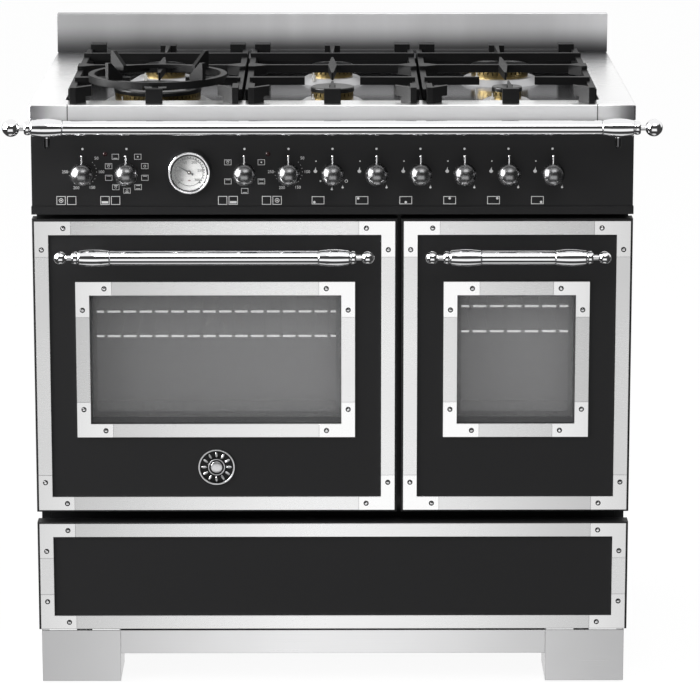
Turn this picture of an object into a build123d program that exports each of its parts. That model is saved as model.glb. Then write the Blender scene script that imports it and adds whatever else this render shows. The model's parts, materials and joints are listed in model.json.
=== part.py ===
"""Free-standing range cooker: six gas burners, two drop-down ovens and a storage drawer.

Millimetres, +Z up, front facing -Y, origin at the bottom centre of the overall box.
"""
import os
from math import cos, pi, radians, sin, sqrt

from build123d import *

os.makedirs("parts", exist_ok=True)

# Overall stack from the floor up
WIDTH = 900.0
CARCASS_DEPTH = 545.0
PLINTH_HEIGHT = 84.0
DRAWER_HEIGHT = 169.0
DOOR_HEIGHT = 451.5
FASCIA_HEIGHT = 142.0
WORKTOP_HEIGHT = 23.0
BACKGUARD_HEIGHT = 64.0

# Shadow gaps and running clearances
SEAT_GAP = 1.5
DRAWER_DOOR_GAP = 16.5
DOOR_FASCIA_GAP = 7.5
DOOR_SPLIT_GAP = 6.0
DOOR_GAP = 5.0
RUN_FIT = 0.05
CLEAR = 0.3
SLIDE_CLEAR = 0.5

# Sheet thicknesses
SHEET = 1.5
SIDE_SHEET = 2.0
WORKTOP_SHEET = 2.0
SERVICE_VOID = 30.0

# Side offsets from the worktop edge
CARCASS_INSET = 4.0
DOOR_INSET = 1.0
FASCIA_INSET = 2.0
PLINTH_INSET = 5.0

# Doors and drawer front
RIGHT_DOOR_WIDTH = 346.0
LINER_DEPTH = 22.0
SHELL_DEPTH = 26.0
LINER_SIDE_INSET = 12.0
LINER_TOP_INSET = 10.0
LINER_BOTTOM_INSET = 28.0
WINDOW_SIDE = 84.0
WINDOW_DROP = 116.0
WINDOW_HEIGHT = 198.0
GLASS_THICK = 4.0
GLASS_LAP = 5.0
TRIM_WIDTH = 20.5
TRIM_THICK = 3.0
TRIM_INSET = 3.5
CORNER_LEG = 54.0
CORNER_THICK = 3.2
SCREW_ALONG = 43.0
SCREW_RADIUS = 2.0
SCREW_HEAD_RADIUS = 3.7
SCREW_HEAD_HEIGHT = 1.8
PIVOT_RISE = 18.0
PIVOT_SETBACK = 2.0
HINGE_INSET = 75.0
HINGE_LUG = 5.0
HINGE_CHEEK = 3.0
HINGE_PIN_RADIUS = 4.0
HINGE_BOSS_RADIUS = 6.5

# Turned rails: bar, barrel and end-ball radii
RAIL_RADII = (11.2, 14.0, 13.0)
HANDLE_RADII = (10.7, 13.0, 10.0)
RAIL_STANDOFF = 41.0
HANDLE_STANDOFF = 42.0
RAIL_OVERHANG = 37.0
RAIL_DROP = 6.0
HANDLE_INSET = 35.0
HANDLE_DROP = 51.5
NECK_RADIUS = 4.2
NECK_LENGTH = 7.0
COLLAR_LENGTH = 9.0
COLLAR_WAIST = 0.8
COLLAR_SWELL = 0.95
BARREL_LENGTH = 48.0
BARREL_EASE = 3.0
BARREL_STEP = 0.6
POST_RADIUS = 5.5
RAIL_NUB_RADIUS = 4.6
RAIL_NUB_DROP = 17.0

# Control panel
LIP_HEIGHT = 12.0
LIP_REACH = 2.0
KNOB_RISE = 64.0
KNOB_PITCH = 65.4
KNOB_PAIR_OFFSET = 306.1
KNOB_BALL_RADIUS = 17.2
KNOB_SKIRT_RADIUS = 13.5
KNOB_SKIRT_GAP = 6.5
KNOB_BALL_REACH = 27.0
POINTER_RADIUS = 1.5
POINTER_TIP = 29.0
SPINDLE_RADIUS = 4.0
SPINDLE_SINK = 28.0
SLEEVE_RADIUS = 7.0
SLEEVE_SINK = 9.0
SLEEVE_STAND = 4.0
CONTROL_SINK = 16.0
CONTROL_DEPTH = 26.0
GAUGE_X = -213.0
GAUGE_RADIUS = 34.0
GAUGE_DEPTH = 14.0
GAUGE_GLASS = 1.5
GAUGE_STUB_RADIUS = 12.0
NEEDLE_LENGTH = 21.0
NEEDLE_REST = 60.0
MANIFOLD_SIZE = 16.0
FEED_RADIUS = 8.0
FEED_SIDE_GAP = 24.0
INLET_RADIUS = 10.48
INLET_LENGTH = 18.0
GLAND_X = 330.0
GLAND_RADIUS = 12.0
GLAND_BORE = 6.5
GLAND_LENGTH = 12.0

# Front frame
FRAME_DEPTH = 15.0
STILE_WIDTH = 12.0
MULLION_WIDTH = 16.0
MID_RAIL_LAP = 8.0
MID_RAIL_RISE = 29.0
TOP_RAIL_LAP = 12.0

# Ovens
CAVITY_SIDE = 51.0
CAVITY_FLOOR_RISE = 35.0
CAVITY_ROOF_DROP = 45.0
CAVITY_DEPTH = 420.0
RIB_WIDTH = 9.0
RIB_HEIGHT = 5.0
SHELF_HEIGHTS = {"left": (192.0, 230.0), "right": (199.0, 238.0)}
SHELF_DEPTH = 350.0
SHELF_ROD = 3.0
SHELF_WIRE = 1.6
SHELF_PITCH = 24.0
SHELF_FRONT = 14.0
SEAL_WIDTH = 10.0
SEAL_LAP = 6.0
ELEMENT_RADIUS = 3.4
GRILL_DROP = 16.0
FAN_RADIUS = 62.0
FAN_HUB = 11.0
FAN_SHAFT = 4.0
FAN_WIDTH = 18.0
FAN_BLADES = 12
MOTOR_RADIUS = 36.0
MOTOR_LENGTH = 50.0
BAFFLE_GAP = 34.0
BAFFLE_RADIUS = 95.0

# Drawer
BOX_SIDE_GAP = 34.0
BOX_BOTTOM_RISE = 28.0
BOX_TOP_DROP = 30.0
BOX_DEPTH = 430.0
SLIDE_BAR = (20.0, 12.0)
SLIDE_RISE = 18.0
SLIDE_BITE = 8.0

# Plinth and feet
LEG_WIDTH = 120.0
LEG_DEPTH = 100.0
LEG_FLOOR_GAP = 3.0
KICK_HEIGHT = 37.0
FOOT_PAD_RADIUS = 20.0
FOOT_PAD_HEIGHT = 8.0
FOOT_STEM_RADIUS = 5.0
FOOT_BOSS_RADIUS = 12.0
FOOT_BOSS_LENGTH = 22.0

# Worktop, burners and pan supports
WORKTOP_NOSE = 4.0
WORKTOP_SKIRT = 8.0
SEAM_INSET = 57.0
SEAM_WIDTH = 1.2
SEAM_DEPTH = 1.0
WELL_SIDE = 51.0
WELL_FRONT = 46.0
WELL_REAR = 85.0
WELL_DEPTH = 20.0
WELL_CORNER = 12.0
BACKGUARD_THICK = 13.0
LEDGE_DEPTH = 14.0
LEDGE_HEIGHT = 5.0
COLUMN_PITCH = 265.0
ROW_FRONT = 142.0
ROW_PITCH = 248.0
CUP_HEIGHT = 9.0
CUP_LAP = 9.0
CUP_FLARE = 15.0
CUP_SINK = 22.0
SPARK_ANGLE = -130.0
SPARK_RADIUS = 3.0
CROWN_HEIGHT = 12.0
CROWN_WALL = 7.0
CAP_HEIGHT = 7.0
PORT_WIDTH = 2.2
PORT_PITCH = 7.5
BURNER_RADII = {"left_rear": 32.0, "centre_front": 32.0, "centre_rear": 32.0,
                "right_rear": 45.0, "right_front": 22.0}
WOK_INNER = 21.0
WOK_OUTER = 65.0
WOK_RING = 17.0
GRATE_WIDTH = 260.0
GRATE_BAR = 9.0
GRATE_TOP = 22.0
GRATE_SINK = 13.0
SIDE_BAR_TOP = 16.0
REAR_BAR_SETBACK = 26.0
FINGER_HEIGHT = 12.0
FINGER_ROOT = 12.0
FINGER_NECK = 9.0
FINGER_TIP = 7.0
FINGER_STOP = 42.0
DIAMOND_LENGTH = 176.0
DIAMOND_WIDTH = 14.0
POINT_WIDTH = 3.0
GUSSET_WIDTH = 28.0
GUSSET_DEPTH = 36.0
GUSSET_HEIGHT = 15.0
LUG_WIDTH = 25.0
LUG_DEPTH = 12.0
LUG_FRONT = 12.0
LUG_REAR_LAP = 11.0
LUG_RISE = 2.0
CORNER_INSET = 5.0
CORNER_FOOT = 14.0
CORNER_REACH = 22.0
CORNER_ARCH = 9.0
WOK_RING_RADII = (96.0, 105.0)
WOK_RING_BAND = (17.0, 28.0)
WOK_FIN_TOP = 53.0
WOK_FIN_THICK = 7.0

# Levels
carcass_bottom = PLINTH_HEIGHT
drawer_bottom = carcass_bottom + SEAT_GAP
drawer_top = drawer_bottom + DRAWER_HEIGHT
door_bottom = drawer_top + DRAWER_DOOR_GAP
door_top = door_bottom + DOOR_HEIGHT
fascia_bottom = door_top + DOOR_FASCIA_GAP
carcass_top = fascia_bottom + FASCIA_HEIGHT
rim_z = carcass_top + WORKTOP_HEIGHT
well_z = rim_z - WELL_DEPTH
knob_z = fascia_bottom + KNOB_RISE
rail_z = carcass_top - RAIL_DROP

# Half widths
top_half = WIDTH / 2
carcass_half = top_half - CARCASS_INSET
inner_half = carcass_half - SIDE_SHEET
door_half = top_half - DOOR_INSET
fascia_half = top_half - FASCIA_INSET
plinth_half = top_half - PLINTH_INSET
stile_half = inner_half - STILE_WIDTH
well_half = top_half - WELL_SIDE

# Reaches in front of the carcass front plane
liner_reach = DOOR_GAP + LINER_DEPTH
panel_reach = liner_reach + SHELL_DEPTH
fascia_reach = panel_reach + TRIM_THICK
worktop_reach = fascia_reach + WORKTOP_NOSE
rail_reach = fascia_reach + RAIL_STANDOFF
handle_reach = panel_reach + HANDLE_STANDOFF
plinth_reach = panel_reach
pivot_reach = liner_reach + PIVOT_SETBACK
front_reach = rail_reach + RAIL_RADII[1]

# Planes along the depth
front_y = (front_reach - CARCASS_DEPTH) / 2
back_y = front_y + CARCASS_DEPTH
rear_face = back_y - SERVICE_VOID

# Door and oven spans
right_door = (door_half - RIGHT_DOOR_WIDTH, door_half)
left_door = (-door_half, right_door[0] - DOOR_SPLIT_GAP)
doors = {"left": left_door, "right": right_door}
split_x = right_door[0] - DOOR_SPLIT_GAP / 2
window_top = door_top - WINDOW_DROP
window_z = (window_top - WINDOW_HEIGHT, window_top)
pivot_z = door_bottom + PIVOT_RISE
mid_rail_z = (drawer_top - MID_RAIL_LAP, door_bottom + MID_RAIL_RISE)
top_rail_z = (door_top - TOP_RAIL_LAP, fascia_bottom + TOP_RAIL_LAP)
mullion_half = MULLION_WIDTH / 2
flanges = {"left": (-stile_half + CLEAR, split_x - mullion_half - CLEAR),
           "right": (split_x + mullion_half + CLEAR, stile_half - CLEAR)}
flange_z = (mid_rail_z[1] + CLEAR, top_rail_z[0] - CLEAR)
cavity_z = (mid_rail_z[1] + CAVITY_FLOOR_RISE, top_rail_z[0] - CAVITY_ROOF_DROP)
cavity_back = front_y + CAVITY_DEPTH
fan_z = (cavity_z[0] + cavity_z[1]) / 2

# Drawer box
box_half = inner_half - BOX_SIDE_GAP
box_z = (drawer_bottom + BOX_BOTTOM_RISE, drawer_top - BOX_TOP_DROP)
slide_z = (box_z[0] + SLIDE_RISE, box_z[0] + SLIDE_RISE + SLIDE_BAR[1])
slide_half = box_half + SLIDE_BAR[0]

# Knob columns: main oven pair, second oven pair, six gas taps
oven_knobs = {"main_temperature": -KNOB_PAIR_OFFSET - KNOB_PITCH,
              "main_function": -KNOB_PAIR_OFFSET,
              "second_function": -2 * KNOB_PITCH,
              "second_temperature": -KNOB_PITCH}
gas_order = ("wok", "left_rear", "centre_front", "centre_rear", "right_rear", "right_front")
gas_knobs = {name: index * KNOB_PITCH for index, name in enumerate(gas_order)}
spindle_end = fascia_reach - SPINDLE_SINK
control_front = fascia_reach - CONTROL_SINK
control_back = control_front - CONTROL_DEPTH
feed_x = inner_half - FEED_SIDE_GAP
manifold_z = knob_z - 16.0 - MANIFOLD_SIZE / 2
manifold_reach = control_back + MANIFOLD_SIZE / 2


def at(reach):
    """Y of a plane standing in front of the carcass."""
    return front_y - reach


def hob(depth):
    """Y of a plane behind the front edge of the worktop."""
    return at(worktop_reach) + depth


def block(x, y, z, mode=Mode.ADD):
    """Box between three low-high pairs, given in either order."""
    with Locations(((x[0] + x[1]) / 2, (y[0] + y[1]) / 2, (z[0] + z[1]) / 2)):
        Box(abs(x[1] - x[0]), abs(y[1] - y[0]), abs(z[1] - z[0]), mode=mode)


def rod(start, end, radius, mode=Mode.ADD):
    """Round bar between two points."""
    axis = Vector(*end) - Vector(*start)
    with BuildSketch(Plane(origin=start, z_dir=axis)) as section:
        Circle(radius)
    extrude(section.sketch, amount=axis.length, mode=mode)


def front_plane(reach):
    """Upright plane facing the viewer, local axes X and Z."""
    return Plane(origin=(0, at(reach), 0), x_dir=(1, 0, 0), z_dir=(0, -1, 0))


def turning_plane(x, z):
    """Half section for parts turned about a front-to-back axis: radius, then reach."""
    return Plane(origin=(x, front_y, z), x_dir=(1, 0, 0), z_dir=(0, 0, -1))


def turning_axis(x, z):
    """Front-to-back axis through a point of the front."""
    return Axis((x, front_y, z), (0, -1, 0))


def save(piece, name):
    """Label one sub-part and write its file."""
    piece.part.label = name
    export_step(piece.part, f"parts/{name}.step")


def turned_rail(ends, reach, z, seat, radii):
    """Bar with two barrel brackets on posts and two ball ends, all on one axis."""
    bar, barrel, ball = radii
    axis_y = at(reach)
    axis = Axis((0, axis_y, z), (1, 0, 0))
    section = Plane(origin=(0, axis_y, z), x_dir=(1, 0, 0), z_dir=(0, -1, 0))
    inner = []
    for sign, end in ((1, ends[0]), (-1, ends[1])):
        ball_x = end + sign * ball
        collar_x = ball_x + sign * (ball + NECK_LENGTH)
        barrel_x = collar_x + sign * COLLAR_LENGTH
        inner_x = barrel_x + sign * BARREL_LENGTH
        middle_x = (barrel_x + inner_x) / 2
        eased = (barrel_x + sign * BARREL_EASE, inner_x - sign * BARREL_EASE)
        edge = bar + BARREL_STEP
        turn = sign * BARREL_EASE * (1 - sqrt(0.5))
        inner.append(inner_x + sign * RUN_FIT)
        neck_x = ball_x + sign * sqrt(ball ** 2 - NECK_RADIUS ** 2)
        neck_end = collar_x - sign * RUN_FIT
        with BuildSketch(section) as finial:
            with BuildLine():
                ThreePointArc((end, 0), (ball_x, ball), (neck_x, NECK_RADIUS))
                Polyline((neck_x, NECK_RADIUS), (neck_end, NECK_RADIUS), (neck_end, 0), (end, 0))
            make_face()
        revolve(finial.sketch, axis=axis)
        with BuildSketch(section) as profile:
            with BuildLine():
                Polyline((inner_x, edge - BARREL_EASE), (inner_x, 0), (collar_x, 0),
                         (collar_x, bar * COLLAR_WAIST))
                ThreePointArc((collar_x, bar * COLLAR_WAIST),
                              ((collar_x + barrel_x) / 2, bar * COLLAR_SWELL),
                              (barrel_x, bar * COLLAR_WAIST))
                Line((barrel_x, bar * COLLAR_WAIST), (barrel_x, edge - BARREL_EASE))
                ThreePointArc((barrel_x, edge - BARREL_EASE), (barrel_x + turn, edge - abs(turn)),
                              (eased[0], edge))
                ThreePointArc((eased[0], edge), (middle_x, barrel), (eased[1], edge))
                ThreePointArc((eased[1], edge), (inner_x - turn, edge - abs(turn)),
                              (inner_x, edge - BARREL_EASE))
            make_face()
        revolve(profile.sketch, axis=axis)
        rod((middle_x, axis_y, z), (middle_x, at(seat), z), POST_RADIUS)
    rod((inner[0], axis_y, z), (inner[1], axis_y, z), bar)


def corner_points(x, z):
    """Corner position and inward directions of a rectangle."""
    return [(x[0], z[0], 1, 1), (x[1], z[0], -1, 1), (x[0], z[1], 1, -1), (x[1], z[1], -1, -1)]


def trim_screws(x, z):
    """Screw centres of one trim frame, two to a corner plate."""
    across = TRIM_WIDTH / 2
    points = []
    for cx, cz, sx, sz in corner_points(x, z):
        points.append((cx + sx * SCREW_ALONG, cz + sz * across))
        points.append((cx + sx * across, cz + sz * SCREW_ALONG))
    return points


def trim_frame(x, z):
    """Four L-shaped corner plates and the four bars between them, on the panel face."""
    leg = CORNER_LEG + CLEAR
    with BuildSketch(front_plane(panel_reach)) as plates:
        for cx, cz, sx, sz in corner_points(x, z):
            with BuildLine():
                Polyline((cx, cz), (cx + sx * CORNER_LEG, cz),
                         (cx + sx * CORNER_LEG, cz + sz * TRIM_WIDTH),
                         (cx + sx * TRIM_WIDTH, cz + sz * TRIM_WIDTH),
                         (cx + sx * TRIM_WIDTH, cz + sz * CORNER_LEG),
                         (cx, cz + sz * CORNER_LEG), close=True)
            make_face()
        with Locations(*trim_screws(x, z)):
            Circle(SCREW_RADIUS + RUN_FIT, mode=Mode.SUBTRACT)
    extrude(plates.sketch, amount=CORNER_THICK)
    for edge, sign in ((z[0], 1), (z[1], -1)):
        block((x[0] + leg, x[1] - leg), (at(panel_reach), at(fascia_reach)),
              (edge, edge + sign * TRIM_WIDTH))
    for edge, sign in ((x[0], 1), (x[1], -1)):
        block((edge, edge + sign * TRIM_WIDTH), (at(panel_reach), at(fascia_reach)),
              (z[0] + leg, z[1] - leg))


def slotted_screws(points):
    """Pan-head screws through the corner plates and the panel sheet."""
    seat = panel_reach + CORNER_THICK
    with BuildSketch(front_plane(panel_reach - SHEET - 3)) as shanks:
        with Locations(*points):
            Circle(SCREW_RADIUS)
    extrude(shanks.sketch, amount=SHEET + 3 + CORNER_THICK)
    with BuildSketch(front_plane(seat)) as heads:
        with Locations(*points):
            Circle(SCREW_HEAD_RADIUS)
    extrude(heads.sketch, amount=SCREW_HEAD_HEIGHT, taper=25)
    with BuildSketch(front_plane(seat + SCREW_HEAD_HEIGHT)) as slots:
        with Locations(*points):
            Rectangle(SCREW_HEAD_RADIUS * 2, 0.9, rotation=35)
    extrude(slots.sketch, amount=-SCREW_HEAD_HEIGHT / 2, mode=Mode.SUBTRACT)


def front_tray(x, z):
    """Pressed front panel, a tray open to the rear with softened front edges."""
    block(x, (at(liner_reach), at(panel_reach)), z)
    fillet(edges().filter_by_position(Axis.Y, at(panel_reach) - 0.01, at(panel_reach) + 0.01), 1.2)
    block((x[0] + SHEET, x[1] - SHEET), (at(liner_reach), at(panel_reach - SHEET)),
          (z[0] + SHEET, z[1] - SHEET), mode=Mode.SUBTRACT)


# Carcass
with BuildPart() as side_panels:
    block((inner_half, carcass_half), (front_y, back_y), (carcass_bottom, carcass_top))
    mirror(about=Plane.YZ)
save(side_panels, "side_panels")

inlet_z = manifold_z
vent_z = (fan_z + carcass_top) / 2
with BuildPart() as back_panel:
    block((-inner_half, inner_half), (rear_face - SHEET, rear_face), (carcass_bottom, carcass_top))
    rod((GLAND_X, rear_face - SHEET, carcass_bottom + 60),
        (GLAND_X, rear_face + GLAND_LENGTH, carcass_bottom + 60), GLAND_RADIUS)
    rod((GLAND_X, rear_face - 2 * SHEET, carcass_bottom + 60),
        (GLAND_X, rear_face + GLAND_LENGTH, carcass_bottom + 60), GLAND_BORE, mode=Mode.SUBTRACT)
    rod((feed_x, rear_face - 2 * SHEET, inlet_z), (feed_x, rear_face + SHEET, inlet_z),
        FEED_RADIUS + CLEAR, mode=Mode.SUBTRACT)
    with BuildSketch(Plane(origin=(0, rear_face, vent_z), x_dir=(-1, 0, 0), z_dir=(0, 1, 0))):
        with GridLocations(130, 16, 4, 6):
            Rectangle(90, 6)
    extrude(amount=-2 * SHEET, mode=Mode.SUBTRACT)
save(back_panel, "back_panel")

foot_x = plinth_half - LEG_WIDTH / 2
foot_rows = (front_y + FOOT_PAD_RADIUS + 4, rear_face - LEG_DEPTH / 2)
foot_spots = [(sign * foot_x, y) for sign in (-1, 1) for y in foot_rows]
with BuildPart() as base_pan:
    block((-inner_half, inner_half), (front_y, rear_face - SHEET),
          (carcass_bottom, carcass_bottom + SIDE_SHEET))
    for x, y in foot_spots:
        rod((x, y, carcass_bottom - FOOT_BOSS_LENGTH), (x, y, carcass_bottom), FOOT_BOSS_RADIUS)
        rod((x, y, carcass_bottom - FOOT_BOSS_LENGTH), (x, y, carcass_bottom),
            FOOT_STEM_RADIUS + RUN_FIT, mode=Mode.SUBTRACT)
save(base_pan, "base_pan")

with BuildPart() as levelling_feet:
    for x, y in foot_spots:
        with BuildSketch(Plane(origin=(x, y, 0))):
            Circle(FOOT_PAD_RADIUS)
        extrude(amount=FOOT_PAD_HEIGHT, taper=20)
        rod((x, y, 0), (x, y, carcass_bottom - CLEAR), FOOT_STEM_RADIUS)
save(levelling_feet, "levelling_feet")

kick_bottom = carcass_bottom - KICK_HEIGHT
leg_inner = plinth_half - LEG_WIDTH
leg_front = (at(plinth_reach), at(plinth_reach - LEG_DEPTH))
leg_rear = (rear_face - LEG_DEPTH, rear_face)
with BuildPart() as plinth:
    for face, open_end in (leg_front, leg_rear[::-1]):
        inward = 1 if open_end > face else -1
        block((leg_inner, plinth_half), (face, open_end), (LEG_FLOOR_GAP, carcass_bottom))
        block((leg_inner + SHEET, plinth_half - SHEET), (face + inward * SHEET, open_end),
              (LEG_FLOOR_GAP, carcass_bottom), mode=Mode.SUBTRACT)
    block((plinth_half - SHEET, plinth_half), (leg_front[1] + CLEAR, leg_rear[0] - CLEAR),
          (kick_bottom, carcass_bottom))
    mirror(about=Plane.YZ)
    block((-leg_inner + CLEAR, leg_inner - CLEAR), (at(plinth_reach), at(plinth_reach - SHEET)),
          (kick_bottom, carcass_bottom))
    block((-leg_inner + CLEAR, leg_inner - CLEAR), (at(plinth_reach), front_y + FRAME_DEPTH),
          (carcass_bottom - SHEET, carcass_bottom))
save(plinth, "plinth")

hinge_spots = {side: (span[0] + HINGE_INSET, span[1] - HINGE_INSET) for side, span in doors.items()}
with BuildPart() as front_frame:
    block((stile_half, inner_half), (front_y, front_y + FRAME_DEPTH),
          (carcass_bottom + SIDE_SHEET, carcass_top))
    mirror(about=Plane.YZ)
    for rail in (mid_rail_z, top_rail_z):
        block((-stile_half + RUN_FIT, stile_half - RUN_FIT), (front_y, front_y + FRAME_DEPTH), rail)
    block((-stile_half + RUN_FIT, stile_half - RUN_FIT), (front_y, front_y + FRAME_DEPTH),
          (carcass_bottom + SIDE_SHEET, carcass_bottom + STILE_WIDTH))
    block((split_x - mullion_half, split_x + mullion_half), (front_y, front_y + FRAME_DEPTH),
          (mid_rail_z[1] + RUN_FIT, top_rail_z[0] - RUN_FIT))
    for spot in hinge_spots["left"] + hinge_spots["right"]:
        with BuildSketch(Plane(origin=(spot, 0, 0), x_dir=(0, 1, 0), z_dir=(1, 0, 0))):
            with Locations(((front_y - RUN_FIT + at(pivot_reach)) / 2, pivot_z)):
                Rectangle(pivot_reach - RUN_FIT, HINGE_BOSS_RADIUS * 2)
            with Locations((at(pivot_reach), pivot_z)):
                Circle(HINGE_BOSS_RADIUS)
                Circle(HINGE_PIN_RADIUS + RUN_FIT, mode=Mode.SUBTRACT)
        extrude(amount=HINGE_LUG / 2, both=True)
save(front_frame, "front_frame")

# Control panel with its lip, knob bores and gauge bore
with BuildPart() as control_panel:
    block((-fascia_half, fascia_half), (front_y, at(fascia_reach)), (fascia_bottom, carcass_top))
    block((-fascia_half - 1, fascia_half + 1), (front_y, at(fascia_reach + LIP_REACH)),
          (fascia_bottom, fascia_bottom + LIP_HEIGHT))
    block((-fascia_half + SHEET, fascia_half - SHEET), (front_y, at(fascia_reach - SHEET)),
          (fascia_bottom + SHEET, carcass_top - SHEET), mode=Mode.SUBTRACT)
    with BuildSketch(front_plane(fascia_reach - 2 * SHEET)):
        with Locations(*[(x, knob_z) for x in oven_knobs.values()]):
            Circle(SPINDLE_RADIUS + RUN_FIT)
        with Locations(*[(x, knob_z) for x in gas_knobs.values()]):
            Circle(SLEEVE_RADIUS + SLIDE_CLEAR)
        with Locations((GAUGE_X, knob_z)):
            Circle(GAUGE_STUB_RADIUS + RUN_FIT)
    extrude(amount=4 * SHEET, mode=Mode.SUBTRACT)
save(control_panel, "control_panel")

rail_ends = (-top_half - RAIL_OVERHANG, top_half + RAIL_OVERHANG)
nub_x = top_half + RAIL_OVERHANG - 2 * RAIL_RADII[2] - NECK_LENGTH - COLLAR_LENGTH - BARREL_LENGTH / 2
with BuildPart() as towel_rail:
    turned_rail(rail_ends, rail_reach, rail_z, fascia_reach, RAIL_RADII)
    for sign in (-1, 1):
        nub_z = rail_z - RAIL_RADII[1] - RAIL_NUB_DROP + RAIL_NUB_RADIUS
        rod((sign * nub_x, at(rail_reach), rail_z), (sign * nub_x, at(rail_reach), nub_z),
            RAIL_NUB_RADIUS)
        with Locations((sign * nub_x, at(rail_reach), nub_z)):
            Sphere(RAIL_NUB_RADIUS)
save(towel_rail, "towel_rail")

# Oven thermometer: turned case with a needle post, needle and lens
gauge_front = fascia_reach + GAUGE_DEPTH
dial_reach = fascia_reach + 3.0
glass_reach = gauge_front - 2 * GAUGE_GLASS
with BuildPart() as gauge_case:
    with BuildSketch(turning_plane(GAUGE_X, knob_z)):
        with BuildLine():
            Polyline((0, fascia_reach - 14), (GAUGE_STUB_RADIUS, fascia_reach - 14),
                     (GAUGE_STUB_RADIUS, fascia_reach), (GAUGE_RADIUS - 2, fascia_reach),
                     (GAUGE_RADIUS, fascia_reach + 3), (GAUGE_RADIUS - 3, gauge_front),
                     (GAUGE_RADIUS - 6, gauge_front), (GAUGE_RADIUS - 6, glass_reach),
                     (GAUGE_RADIUS - 8, glass_reach), (GAUGE_RADIUS - 8, dial_reach),
                     (1, dial_reach), (1, dial_reach + 5), (0, dial_reach + 5), close=True)
        make_face()
    revolve(axis=turning_axis(GAUGE_X, knob_z))
save(gauge_case, "gauge_case")

with BuildPart() as gauge_glass:
    rod((GAUGE_X, at(glass_reach), knob_z), (GAUGE_X, at(glass_reach + GAUGE_GLASS), knob_z),
        GAUGE_RADIUS - 6 - RUN_FIT)
save(gauge_glass, "gauge_glass")

with BuildPart() as gauge_needle:
    rest = radians(NEEDLE_REST)
    with BuildSketch(Plane(origin=(GAUGE_X, at(dial_reach + 1.5), knob_z), x_dir=(cos(rest), 0, sin(rest)),
                           z_dir=(0, -1, 0))):
        with BuildLine():
            Polyline((-1.6, -7), (1.6, -7), (0.5, NEEDLE_LENGTH), (-0.5, NEEDLE_LENGTH), close=True)
        make_face()
        Circle(3.2)
        Circle(1 + RUN_FIT, mode=Mode.SUBTRACT)
    extrude(amount=1.5)
save(gauge_needle, "gauge_needle")


# Knobs: turned spindle, skirt and ball with a radial pointer
def knob(x, name):
    """One control knob about its front-to-back axis."""
    skirt = fascia_reach + KNOB_SKIRT_GAP
    ball = fascia_reach + KNOB_BALL_REACH
    with BuildPart() as piece:
        with BuildSketch(turning_plane(x, knob_z)):
            with BuildLine():
                Polyline((0, spindle_end), (SPINDLE_RADIUS, spindle_end), (SPINDLE_RADIUS, skirt),
                         (KNOB_SKIRT_RADIUS - 1, skirt), (KNOB_SKIRT_RADIUS, skirt + 1),
                         (KNOB_SKIRT_RADIUS - 3, skirt + 4), (SPINDLE_RADIUS + 2, skirt + 6),
                         (SPINDLE_RADIUS + 2, ball), (0, ball), close=True)
            make_face()
        revolve(axis=turning_axis(x, knob_z))
        with Locations((x, at(ball), knob_z)):
            Sphere(KNOB_BALL_RADIUS)
        tip = knob_z + POINTER_TIP - POINTER_RADIUS
        rod((x, at(ball), knob_z), (x, at(ball), tip), POINTER_RADIUS)
        with Locations((x, at(ball), tip)):
            Sphere(POINTER_RADIUS + 0.3)
    save(piece, f"knob_{name}")


for name, x in oven_knobs.items():
    knob(x, name)
for name, x in gas_knobs.items():
    knob(x, name)

for name, x in gas_knobs.items():
    with BuildPart() as sleeve:
        with BuildSketch(front_plane(fascia_reach - SLEEVE_SINK)):
            with Locations((x, knob_z)):
                Circle(SLEEVE_RADIUS)
                Circle(SPINDLE_RADIUS + RUN_FIT, mode=Mode.SUBTRACT)
        extrude(amount=SLEEVE_SINK + SLEEVE_STAND)
    save(sleeve, f"push_sleeve_{name}")

# Gas ramp with taps, and the oven switch bodies
tap_z = (manifold_z + MANIFOLD_SIZE / 2, knob_z + 12)
ramp_ends = (-25.0, gas_knobs["right_front"] + 22.0)
with BuildPart() as taps_and_switches:
    block(ramp_ends, (at(control_back), at(control_back + MANIFOLD_SIZE)),
          (manifold_z - MANIFOLD_SIZE / 2, tap_z[0]))
    for x in (ramp_ends[0] + 12, ramp_ends[1] - 12):
        block((x - 10, x + 10), (at(control_back + 6), front_y),
              (top_rail_z[1] - 6, manifold_z - MANIFOLD_SIZE / 2))
    feed_y = at(manifold_reach)
    with BuildLine() as feed_path:
        FilletPolyline((ramp_ends[1], feed_y, manifold_z), (feed_x, feed_y, manifold_z),
                       (feed_x, rear_face + SHEET, manifold_z), radius=28)
    with BuildSketch(Plane(origin=(ramp_ends[1], feed_y, manifold_z), z_dir=(1, 0, 0))):
        Circle(FEED_RADIUS - 0.4)
    sweep(path=feed_path.wires()[0])
    rod((feed_x, rear_face + SHEET, manifold_z), (feed_x, rear_face + SHEET + INLET_LENGTH, manifold_z),
        INLET_RADIUS)
    for x in gas_knobs.values():
        block((x - 11, x + 11), (at(control_front), at(control_back)), (tap_z[0] + RUN_FIT, tap_z[1]))
    for x in oven_knobs.values():
        block((x - 18, x + 18), (at(control_front), at(control_back)), (knob_z - 18, knob_z + 18))
        rod((x, at(control_front), knob_z), (x, at(fascia_reach - SHEET), knob_z), SPINDLE_RADIUS + 5)
    for x in list(gas_knobs.values()) + list(oven_knobs.values()):
        rod((x, at(fascia_reach), knob_z), (x, at(spindle_end - 8), knob_z),
            SPINDLE_RADIUS + RUN_FIT, mode=Mode.SUBTRACT)
save(taps_and_switches, "taps_and_switches")

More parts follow.
